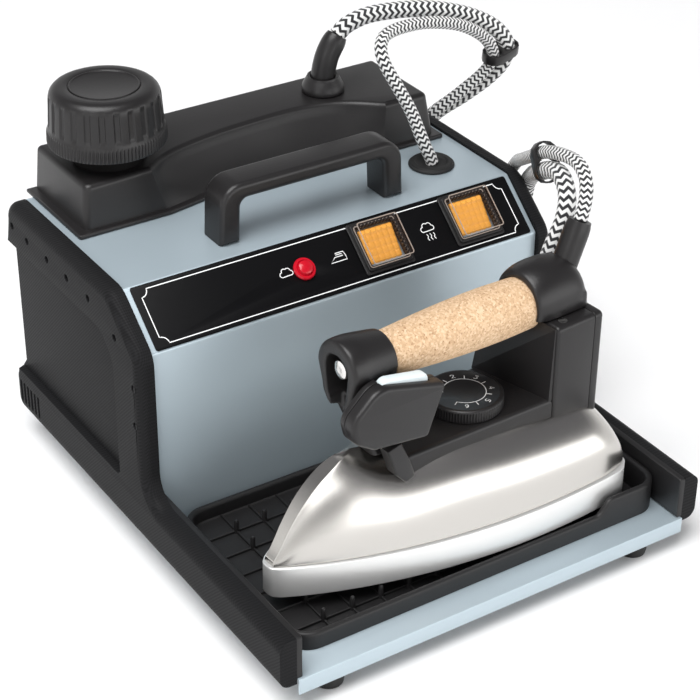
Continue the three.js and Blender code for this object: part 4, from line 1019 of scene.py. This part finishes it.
def make_tank_cover():
    foot = cover_line(COVER_FOOT, -115, 117.5, 82, 82)
    crown = cover_line(COVER_CROWN, -112.2, 114, 83.8, 86)
    fillet = 3.2
    rings = []
    for k in range(7):
        z = mix(COVER_BASE, COVER_TOP - fillet, k / 6)
        share = (z - COVER_BASE) / (COVER_TOP - COVER_BASE)
        rings.append([(mix(a[0], b[0], share), mix(a[1], b[1], share), z) for a, b in zip(foot, crown)])
    edge_line = [(x, y) for x, y, z in rings[-1]]
    for inward, drop in list(quarter(fillet, 6))[1:]:
        rings.append(lift(inset(edge_line, inward), COVER_TOP - drop))
    flange = rounded([
        (-120, 78.5, 1.5), (-64, 78.5), (-42, 82.5), (-20, 88), (8, 92), (35, 91.5), (60, 86), (80, 78.5),
        (121, 78.5, 1.5), (121, 146), (-120, 146),
    ], 3)
    rim = [(20.9, COVER_TOP - 1), (20.6, COVER_TOP + 0.6), (20.3, 191), (20.1, 194), (19.8, 195)]
    cover = [loft(rings, dished=True), plate(flange, COVER_BASE, FLANGE_TOP, 0.9)]
    add("tank_hood", cover, "base", BLACK, "tank_cover")
    # The neck ring gets a near-black finish as painted shade under the cap
    add("neck_ring", [turned(rim, *NECK, 64)], "base", "foot_rubber", finish=NECK_SHADE)


def knurl(angle, teeth):
    """Depth of a knurled wall at an angle"""
    return KNURL_DEPTH * (0.5 - 0.5 * cos(teeth * angle))


def make_cap():
    outer = [
        (26, 197.4), (31.6, 197.05), (32.6, 197.3), (33.2, 198), (33.3, 199), (33.25, 201),
        (33.2, 203), (33.1, 204),
        (32.8, 205), (32.4, 205.8), (32.1, 206.6), (31.95, 207.4), (31.9, 208.2), (31.85, 209), (31.8, 210),
        (31.6, 213), (31.4, 216), (31.2, 219), (31.05, 222), (30.95, 223.4), (30.8, 224.6), (30.5, 225.8),
        (30.0, 226.9), (29.2, 227.9), (28.2, 228.8), (26.9, 229.4), (25.4, 229.7), (23.4, 229.75),
        (20.4, 229.75),
        (20.1, 229.6), (20.0, 229.2), (19.8, 229.15), (19.6, 229.4), (19.5, 229.9), (19.3, 230),
        (19.1, 230),
        (18.95, 229.8), (18.8, 229.5), (18.4, 229.4), (0.1, 229.4),
    ]

    def relief(angle, z):
        skirt = plateau(z, 197.4, 198.2, 204.2, 205.6)
        flute = plateau(z, 207.6, 209.4, 224, 226.4) * smoothstep(cos(24 * angle), 0.05, 0.6)
        return -skirt * knurl(angle, 96) - 0.9 * flute

    add("filler_cap", [turned(outer, *NECK, 768, relief)], "cap", BLACK, "boiler_cap", sharp=50)


def make_outlets():
    bottom = COVER_TOP + 0.3
    collar = [
        (7.6, bottom), (12.2, bottom), (12.7, bottom + 0.5), (12.9, bottom + 1.5), (12.8, bottom + 2.6),
        (12.3, bottom + 4.2), (11.3, bottom + 6), (10.2, 195.3), (9.6, 196.2), (9.4, 196.9),
        (8.7, 197), (7.7, 196.6),
        (7.7, bottom + 3),
    ]
    add("hose_ring", [turned(collar, *HOSE_AT, 56)], "base", BLACK, "hose_collar")
    x, y = HOSE_AT
    axis = spline([(x, y, 191.7), (x + 0.3, y, 199), (x + 3.4, y, 209.5), HOSE_EXIT], 6)
    girth = [7.2] * (len(axis) - 3) + [7.1, 6.7, 6.0]
    add("hose_boot", [tube(axis, girth, 32)], "base", BLACK, "hose_sleeve", sharp=50)
    seat = [
        (4.95, 156), (9.6, 156), (9.6, 159.3), (13.2, 159.3), (13.6, 159.9), (13.4, 160.6), (12.6, 161),
        (12.2, 161.7), (11.2, 162), (9.9, 161.9), (9.2, 161), (8.2, 160.5), (6.2, 160.4), (5.1, 160),
    ]
    add("cable_seat", [turned(seat, *GROMMET, 48)], "base", "foot_rubber", "cable_grommet")
    settle(refined("mains_gland", "mains_entry", 0.4), "base", BLACK, "mains_gland")


# ---- Iron ----

RIDGE = [
    (4, 17.4), (10, 24.4), (18, 39.6), (30, 53.8), (42, 62), (54, 67), (62, 66), (72, 63.6), (90, 62.4),
    (150, 60), (SOLE_LENGTH, 54),
]


def on_line(points, x):
    for (x0, z0), (x1, z1) in zip(points, points[1:]):
        if x <= x1:
            return mix(z0, z1, (x - x0) / (x1 - x0))
    return points[-1][1]


def ridge(x):
    """Height of the dome's ridge, with its corners eased"""
    reach = min(6, max(x - 4, 0) * 0.4)
    return sum(on_line(RIDGE, min(max(x + reach * k / 4, 4), SOLE_LENGTH)) for k in range(-4, 5)) / 9


def sole_half(x):
    along = min(max(x / 178, 0), 1)
    taper = 1.4 * ((x - 178) / 41) ** 2 if x > 178 else 0
    return 49 * sin(pi / 2 * along**0.8) - taper


def sole_outline():
    side = [(x, sole_half(x) + 0.8) for x in [8, 11, 14, 18, 23, 28, *range(34, 206, 6)]]
    tip = spline([(4, 0.9), (4.25, 2.6), (5.2, 4.6), side[0]], 3)[:-1]
    heel = [side[-1], (210, sole_half(202) - 0.4), (214.6, 44.6), (217.2, 42), (218.4, 38.6), (219, 34)]
    half = tip + side + spline(heel, 3)[1:]
    return [(x, -y) for x, y in half] + half[::-1]


def make_sole():
    outline = sole_outline()
    spots = [(30, 0), (46, 8), (46, -8), (70, 16), (70, -16), (100, 22), (100, -22)]
    holes = [(circle(x, y, 2, 20), None) for x, y in spots]
    flipped = plate([(x, -y) for x, y in outline], -SOLE_BAND, -SOLE_BASE, 0.9, holes, 0.5)
    add("sole", [flipped], "iron", "aluminium", "soleplate", matrix=IRON @ Matrix.Rotation(pi, 4, "X"))


def dome_ring(x):
    """Section of the dome: a flat band runs up the prow, with a hollow along each side of it"""
    heel = sqrt(1 - ((x - 192) / 24) ** 2) if x > 192 else 1
    half = max((sole_half(x) - 1.2) * (0.88 + 0.12 * heel), 0.6)
    rise = max(ridge(x) - SOLE_BAND, 1) * (0.3 + 0.7 * heel)
    full = smoothstep(x, 14, 112)
    flat = min(half * 0.8, mix(3.4, 4.2, smoothstep(x, 6, 30)) * (1 - smoothstep(x, 40, 68)))
    hollow = 0.2 * plateau(x, 8, 18, 30, 56)
    side = []
    steps = 26
    for k in range(steps + 1):
        angle = pi / 2 * k / steps
        up = sin(angle) ** mix(0.96, 0.72, full)
        out = cos(angle) ** mix(2.7, 0.9, full) if k < steps else 0
        dip = 1 - hollow * exp(-(((up - 0.8) / 0.15) ** 2))
        side.append((x, flat + (half - flat) * out * dip, DOME_LOW + rise * up))
    return side + [(x, -y, z) for x, y, z in side[::-1]]


def make_dome():
    spots = [
        6.1, 6.7, 7.5, 8.5, 10, 11.5, 13, 15, 17, 19, 21.5, 24, *range(27, 36, 3),
        *range(36, 72, 4), *range(72, 84, 6),
        84, 92, 100, 110, *range(120, 168, 12), 168, 178, 186, 192, 197, 201, 204.5, 207.5, 210,
        212, 213.5, 214.6,
    ]
    dome = [loft([dome_ring(x) for x in spots])]
    add("steel_dome", dome, "iron", "stainless", "iron_dome", matrix=IRON, sharp=50)


def make_deck():
    plan = rounded([(76, -21, 4), (124, -23.5), (173.7, -26), (173.7, 26), (124, 23.5), (76, 21, 4)], 6)
    foot = [(161, 25.4), (171.6, -25.4), (174, -25.4), (174, 25.4)]
    head = [(170.4, 25.4), (173, -25.4), (174, -25.4), (174, 25.4)]
    strut = rounded([(62, 77), (71, 79), (77, 66.5, 6), (81, 55), (75, 52.5, 2), (68, 60, 3)], 4)
    add("deck", [plate(plan, 46, DECK_TOP, 2.8, steps=6)], "iron", BLACK, "iron_deck", matrix=IRON)
    ramp = [loft([lift(foot, 64), lift(head, BLOCK_TOP - 0.5)])]
    add("deck_ramp", ramp, "iron", BLACK, matrix=IRON)
    brace = [plate(strut, 18, 25.5, 1.4, steps=4)]
    add("deck_strut", brace, "iron", BLACK, matrix=IRON @ UPRIGHT_XZ)


DIGITS = [
    [(0.2, 0.75), (0.45, 1), (0.45, 0)],
    [(0, 0.75), (0.15, 0.95), (0.5, 1), (0.8, 0.85), (0.8, 0.62), (0, 0), (0.85, 0)],
    [(0, 1), (0.8, 1), (0.35, 0.58), (0.7, 0.5), (0.82, 0.28), (0.6, 0.03), (0.2, 0), (0, 0.12)],
    [(0.65, 0), (0.65, 1), (0, 0.3), (0.9, 0.3)],
    [(0.8, 1), (0.1, 1), (0.05, 0.55), (0.5, 0.6), (0.8, 0.4), (0.78, 0.15), (0.45, 0), (0, 0.08)],
    [(0.7, 1), (0.25, 0.75), (0.05, 0.35), (0.2, 0.05), (0.6, 0), (0.8, 0.25), (0.65, 0.5), (0.15, 0.45)],
]


def dial_marks(z):
    """A heat scale of six steps round the dial's face"""
    first = 150
    step = -50
    marks = [stroke(arc(0, 0, 11.6, first, first + 6 * step, 60), 0.45, z)]
    for k in range(7):
        angle = first + step * k
        marks.append(stroke([arc(0, 0, reach, angle, angle, 1)[0] for reach in (11.6, 14.8)], 0.45, z))
    for k, digit in enumerate(DIGITS):
        out = cmath.exp(1j * radians(first + step * (k + 0.5)))
        line = [15 * out + out * 3.0 * (y - 0.5) - 1j * out * 2.4 * (x - 0.42) for x, y in digit]
        marks.append(stroke([(point.real, point.imag) for point in line], 0.42, z))
    return marks


def make_dial():
    profile = [
        (0.1, DIAL_BOTTOM + 2.2), (3.4, DIAL_BOTTOM + 2.2), (3.4, DIAL_BOTTOM), (20.6, DIAL_BOTTOM),
        (21.3, DIAL_BOTTOM + 0.5), (21.3, DIAL_TOP - 2), (21.2, DIAL_TOP - 1.2), (20.6, DIAL_TOP - 0.4),
        (19.8, DIAL_TOP), (18.6, DIAL_TOP), (18.3, DIAL_TOP - 0.35), (0.1, DIAL_TOP - 0.35),
    ]

    def relief(angle, z):
        share = plateau(z, DIAL_BOTTOM + 0.2, DIAL_BOTTOM + 0.8, DIAL_TOP - 2.2, DIAL_TOP - 1)
        return -share * knurl(angle, 84)

    dial = [turned(profile, DIAL_X, 0, 504, relief)]
    add("heat_dial", dial, "dial", BLACK, "thermostat_dial", matrix=IRON, sharp=50)
    at = IRON @ Matrix.Translation((DIAL_X, 0, 0))
    add("dial_print", dial_marks(DIAL_TOP - 0.31), "dial", BLACK, matrix=at, finish=PRINT)


def grip_z(x):
    return mix(116.5, 113.5, (x - GRIP_FRONT) / (GRIP_REAR - GRIP_FRONT))


def round_ring(x, radius, rise=0.0, sides=64):
    return [(x, radius * c, grip_z(x) + rise + radius * s) for c, s in around(sides)]


def make_grip():
    profile = [
        (0, 10.6), (0.012, 11.8), (0.04, 12.3), (0.12, 12.9), (0.3, 14.1), (0.5, 15), (0.7, 15.3),
        (0.88, 14.9),
        (0.985, 14.4), (1, 13.4),
    ]
    rings = [round_ring(mix(GRIP_FRONT, GRIP_REAR, t), radius, 0, 48) for t, radius in spline(profile, 5)]
    add("cork_handle", [loft(rings)], "iron", "cork", "cork_grip", matrix=IRON, sharp=60)
    settle(refined("grip_tie_bolt", "tie_bolt"), "iron", "stainless", "grip_tie_bolt", finish=CHROME)
    profile = [(50.6, 1.6), (50.5, 3.6), (50.9, 4.9), (52, 5.4), (57.5, 5.4)]
    head = [round_ring(x, radius, 0, 24) for x, radius in profile]
    add("bolt_head", [loft(head)], "iron", "stainless", matrix=IRON, finish=CHROME)


def loop_ring(x, radius, low, low_radius):
    """Upright loop across the grip's axis, with a round top and a round lower end"""
    loop = arc(0, grip_z(x), radius, 0, 180, 27) + arc(0, low, low_radius, 180, 360, 27)
    return [(x, y, z) for y, z in loop]


def upright_box(x0, x1, half, z):
    return lift(rounded(rectangle(x0, x1, -half, half, 3), 4), z)


def make_front_bracket():
    sweep = [
        (48.3, 14.4, 107, 11), (49.2, 15.8, 106, 12.2), (51, 16.6, 105.5, 13), (58, 16.8, 105, 13.1),
        (67, 15.7, 109, 13.5), (77.2, 14.1, 115.5, 13.5),
    ]
    collar = loft([loop_ring(*place) for place in spline(sweep, 4)])
    leg = loft([
        upright_box(64, 84, 12, DECK_TOP + 0.3), upright_box(60, 80, 9, 80), upright_box(55, 74, 9.5, 92),
        upright_box(52, 72, 12.5, 106),
    ])
    mouth = loft([loop_ring(30, 9.2, 104, 7.8), loop_ring(63.8, 8.8, 106, 7.5)])
    throat = plate([(30, 82), (57, 88), (57, 104), (30, 104)], -5.5, 5.5, 0, lower_edge=0)
    throat = [tuple(UPRIGHT_XZ @ Vector(point)) for point in throat[0]], throat[1]
    bracket = moulded("front_bracket", [collar, leg], [mouth, throat], IRON, rounds=10)
    settle(bracket, "iron", BLACK, "front_post")


def make_rear_bracket():
    barrel = [
        (168.6, 16.4, 1.5), (169.6, 17.4, 1.5), (174, 18.7, 1.9), (180, 19.4, 2.2),
        (188, 19.6, 2.2), (196, 19.2, 1.9),
        (200, 18, 1.4), (203, 15.6, 0.8), (204.4, 12, 0),
    ]
    collar = loft([round_ring(*place) for place in spline(barrel, 4)])
    neck = loft([upright_box(173, 203.4, 18.8, BLOCK_TOP - 6), upright_box(173, 203, 18.6, 118)])
    socket = loft([round_ring(160, 14.9), round_ring(176.3, 14.9)])
    floor = block(150, 230, -60, 60, 60, BLOCK_TOP + 0.3)
    bracket = moulded("rear_bracket", [collar, neck], [socket, floor], IRON, rounds=12)
    settle(bracket, "iron", BLACK, "rear_post")


def make_cable_boot():
    line = spline([(196, 0, 112), (200.5, 0, 126), (210.5, 0, 150.5)], 8)
    girth = [7.2] * (len(line) - 2) + [6.9, 6.2]
    settle(make("cable_boot", [tube(line, girth, 32)], IRON, 40), "iron", BLACK, "cable_sleeve")
    head = [(1.5, 9), (1.5, 18.5), (2.7, 18.5), (2.8, 20), (2.2, 20.8), (0.1, 20.9)]
    screw = [turned(head, 64, 78.5, 24)]
    add("bracket_screw", screw, "iron", "stainless", matrix=IRON @ UPRIGHT_XZ, finish=CHROME)


def make_block():
    face = rounded(rectangle(-BLOCK_HALF, BLOCK_HALF, 44, BLOCK_TOP, 3), 5)
    lid_front = BLOCK_REAR - 6
    along = IRON @ UPRIGHT_YZ
    body = [plate(face, BLOCK_FRONT, lid_front - 0.3, 0.3, lower_edge=2.0, steps=4)]
    add("heel_block", body, "iron", BLACK, "rear_block", matrix=along)
    lid = [plate(face, lid_front, BLOCK_REAR, 2.2, lower_edge=0.3, steps=4)]
    add("heel_block_lid", lid, "iron", BLACK, "rear_block_cover", matrix=along)
    head = [(2.6, BLOCK_TOP - 0.2), (2.6, BLOCK_TOP + 0.1), (1.9, BLOCK_TOP + 0.27), (0.1, BLOCK_TOP + 0.29)]
    screws = [turned(head, 182, y, 24) for y in (-21, 21)]
    add("block_screws", screws, "iron", "stainless", matrix=IRON, finish=CHROME)


def make_switch_housing():
    outline = rounded([
        (36, 101, 9), (41, 89, 9), (54, 83, 4), (89, 83, 3), (95.5, 113, 3), (51, 119, 13),
    ], 7)
    slant = IRON @ PITCH @ UPRIGHT_XZ
    well = block(55, 87, 95, 125, 17, 25, 0.2)
    outer = make("housing_outer", [plate(outline, 22, 29.5, 3.0, lower_edge=0.4, steps=5)], slant)
    settle(carve(outer, [well], slant), "iron", BLACK, "switch_case_outer")
    inner = make("housing_inner", [plate(outline, 17.9, 21.7, 0.4, lower_edge=1.2, steps=4)], slant)
    settle(carve(inner, [well], slant), "iron", BLACK, "switch_case_inner")
    pill = rounded([(55.5, 108), (86.5, 108), (86.5, 118, 4), (55.5, 120, 5)], 6)
    button = [plate(pill, 18.4, 24.6, 1.6, lower_edge=1.6, steps=4)]
    add("steam_key", button, "button", "pale_button", "steam_button", matrix=slant)


# ---- Stage ----


def make_floor():
    corners = lift([corner[:2] for corner in rectangle(-1.7, 1.7, -1.7, 1.7)], 0)
    mesh = bpy.data.meshes.new("floor")
    mesh.from_pydata(corners, [], [(0, 1, 2, 3)])
    floor = link("floor", mesh)
    finish = Finish("floor", (0.9, 0.9, 0.9), 0.85)
    finish.varied(finish.noise(3, 2), 0.8, 0.9)
    mesh.materials.append(finish.material)


def add_light(name, place, target, size, power):
    data = bpy.data.lights.new(name, "AREA")
    data.shape = "RECTANGLE"
    data.size, data.size_y = size
    data.energy = power
    lamp = bpy.data.objects.new(name, data)
    way = (Vector(target) - Vector(place)).normalized()
    lamp.matrix_world = Matrix.Translation(place) @ way.to_track_quat("-Z", "Y").to_matrix().to_4x4()
    bpy.context.scene.collection.objects.link(lamp)


def light_studio():
    world = bpy.data.worlds.new("studio")
    world.use_nodes = True
    tree = world.node_tree
    kinds = ("TexCoord", "SeparateXYZ", "ValToRGB")
    place, parts, glow = (tree.nodes.new("ShaderNode" + kind) for kind in kinds)
    tree.links.new(place.outputs["Generated"], parts.inputs[0])
    tree.links.new(parts.outputs["Z"], glow.inputs["Fac"])
    tree.links.new(glow.outputs["Color"], tree.nodes["Background"].inputs["Color"])
    # Pale round the horizon and dimmer overhead
    low, high = glow.color_ramp.elements
    low.position, low.color = 0.12, (0.95, 0.95, 0.95, 1)
    high.position, high.color = 0.62, (0.15, 0.15, 0.16, 1)
    scene = bpy.context.scene
    scene.world = world
    scene.view_settings.view_transform = "Standard"
    add_light("top", (-1.2, -0.4, 3.4), (0.0, 0.4, 0.0), (2.6, 2.6), 160)
    add_light("front", (0.85, -2.1, 0.55), (0.0, -0.05, 0.1), (3.0, 1.2), 22)
    add_light("left", (-1.4, -0.7, 0.7), (0.0, 0.0, 0.1), (0.6, 0.5), 2.5)


def dress_frame():
    """Finishes for the CAD nodes that stay as they are"""
    for entry in frame["record"]["subparts"]:
        coat(frame["nodes"][entry["node"]], FINISHES[entry["material_slot"]])


dress_frame()
make_cabinet()
make_panel("right", UPRIGHT_YZ)
make_panel("left", MIRROR @ UPRIGHT_YZ)
make_feet()
make_mat()
make_label()
make_switches()
make_handle()
make_tank_cover()
make_cap()
make_outlets()
make_sole()
make_dome()
make_deck()
make_dial()
make_grip()
make_front_bracket()
make_rear_bracket()
make_cable_boot()
make_block()
make_switch_housing()
make_floor()
light_studio()
